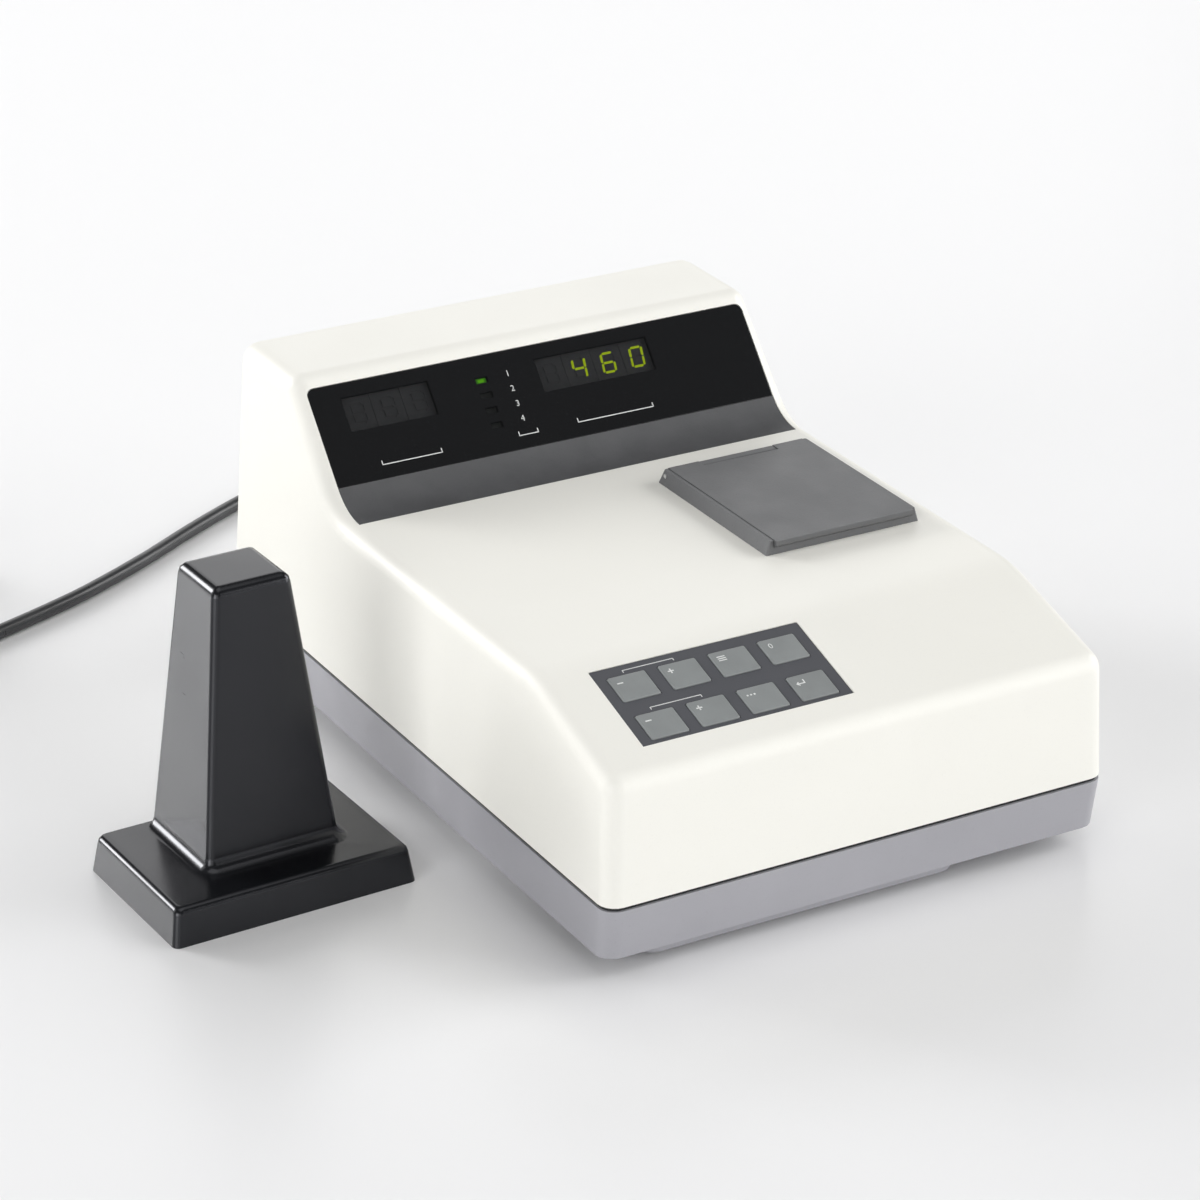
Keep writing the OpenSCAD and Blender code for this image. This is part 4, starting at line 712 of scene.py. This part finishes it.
def zeroSign(bm, x, y, s):
    numeral(bm, "0", (x + s["zeroShift"], y), s["zeroSize"], s["top"] + s["zeroLift"])


def dotsSign(bm, x, y, s):
    for k in range(3):
        spot = (x + s["dotStart"] + k * s["dotPitch"], y, s["top"])
        bar(bm, spot, (s["dot"], s["dot"], s["thick"]), s["dotRound"])


def returnSign(bm, x, y, s):  # a bent arrow to the left
    bar(bm, (x + s["stem"][0], y + s["stem"][1], s["top"]), (s["stemLong"], s["fine"], s["thick"]))
    bar(bm, (x + s["hook"][0], y + s["hook"][1], s["top"]), (s["fine"], s["hookLong"], s["thick"]))
    for k in (-1, 1):
        made = bar(bm, (0, 0, 0), (s["headLong"], s["fine"], s["thick"]))
        bmesh.ops.rotate(bm, verts=made, matrix=Matrix.Rotation(math.radians(s["headTurn"] * k), 3, "Z"))
        spot = (x + s["head"][0], y + s["head"][1] + k * s["headSpread"], s["top"])
        bmesh.ops.translate(bm, verts=made, vec=spot)


def keySigns(s):
    signs = (minusSign, plusSign, listSign, zeroSign, minusSign, plusSign, dotsSign, returnSign)
    places = [(x + s["signAt"][0], y + s["signAt"][1]) for y in s["rows"] for x in s["columns"]]
    for i, sign, (x, y) in zip(keyNumbers, signs, places):
        bm = bmesh.new()
        sign(bm, x, y, s)
        bmesh.ops.transform(bm, matrix=slopePlace, verts=bm.verts)
        fromMesh("keySign%d" % i, bm, keyInk, "key_%d_body" % i)


keySigns(signSet)

# rules on the label, over the two pairs of keys
pairSet = {"left": -93.5, "right": -66.3, "rows": (71.2, 44.2), "height": -0.38, "thick": 0.03,
           "line": 0.5, "tick": 1.6, "tickShift": -0.7}


def pairRules(s):
    bm = bmesh.new()
    for y in s["rows"]:
        bracket(bm, s["left"], s["right"], y, s)
    bmesh.ops.transform(bm, matrix=slopePlace, verts=bm.verts)
    fromMesh("pairRules", bm, windowInk, "case")


pairRules(pairSet)
print("prints laid on")

# what stays as the CAD gives it takes its finish in place
shown = [n for n, o in nodes.items() if not o.hide_render]
for name in shown:
    mesh = nodes[name].data
    finish = finishes[slotOf[name]]
    if len(mesh.materials) == 0:
        mesh.materials.append(finish)
    for i in range(len(mesh.materials)):
        mesh.materials[i] = finish
print("CAD pieces finished:", len(shown))

# floor, sky and soft boxes: each box has its place, side in metres and watts
studioSet = {"floor": 9.0, "floorSteps": 8, "floorColour": (0.83, 0.83, 0.835), "floorRough": 0.3,
             "floorIor": 1.5, "skyTint": (0.985, 0.99, 1.0),
             "sky": ((0.0, 0.85), (0.25, 0.2), (0.5, 0.12)),  # upward part of the look, brightness
             "boxes": (("backLeftBox", (-4.65, 4.8, 3.3), 5.0, 133.0),
                       ("backLeftLowBox", (-3.15, 4.8, 2.0), 1.8, 162.0),
                       ("backRightBox", (2.65, 5.5, 2.9), 4.2, 82.0),
                       ("rightBox", (4.75, -1.2, 2.3), 3.0, 160.0),
                       ("frontRightBox", (4.15, -4.2, 1.6), 3.2, 110.0),
                       ("frontLeftBox", (-2.65, -4.8, 1.7), 3.2, 36.0),
                       ("leftBox", (-4.65, -2.4, 1.5), 3.2, 134.0),
                       ("topBox", (0.15, -0.6, 5.5), 4.0, 60.0)),
             "aim": (0.05, 0.0, 0.08)}


def makeFloor(s):
    bm = bmesh.new()
    bmesh.ops.create_grid(bm, x_segments=s["floorSteps"], y_segments=s["floorSteps"], size=s["floor"])
    mesh = bpy.data.meshes.new("studioFloor")
    bm.to_mesh(mesh)
    bm.free()
    floor = bpy.data.objects.new("studioFloor", mesh)
    scene.collection.objects.link(floor)
    colour = (*s["floorColour"], 1.0)
    f = Finish("floorFinish", IOR=s["floorIor"], Base_Color=colour, Roughness=s["floorRough"])
    mesh.materials.append(f.material)


def makeSky(s):  # pale at the horizon, dim above
    world = bpy.data.worlds.new("studioSky")
    scene.world = world
    world.use_nodes = True
    sky = NodeTree(world.node_tree)
    look = sky.out("ShaderNodeTexCoord", output="Generated")
    upward = sky.out("ShaderNodeSeparateXYZ", None, {0: look}, "Z")
    stops = [(height, (*shade(s["skyTint"], bright), 1.0)) for height, bright in s["sky"]]
    colour = sky.out("ShaderNodeValToRGB", {"stops": stops}, {0: upward})
    sky.tree.links.new(colour.socket, sky.tree.nodes["Background"].inputs[0])


def makeLights(s):
    for name, spot, size, power in s["boxes"]:
        data = bpy.data.lights.new(name, "AREA")
        data.shape = "SQUARE"
        data.size = size
        data.energy = power
        lamp = bpy.data.objects.new(name, data)
        scene.collection.objects.link(lamp)
        lamp.location = spot
        lamp.visible_camera = False
        lamp.rotation_mode = "QUATERNION"
        lamp.rotation_quaternion = (Vector(s["aim"]) - Vector(spot)).to_track_quat("-Z", "Y")


makeFloor(studioSet)
makeSky(studioSet)
makeLights(studioSet)
scene.view_settings.view_transform = "Standard"
scene.view_settings.look = "None"
print("studio lit")
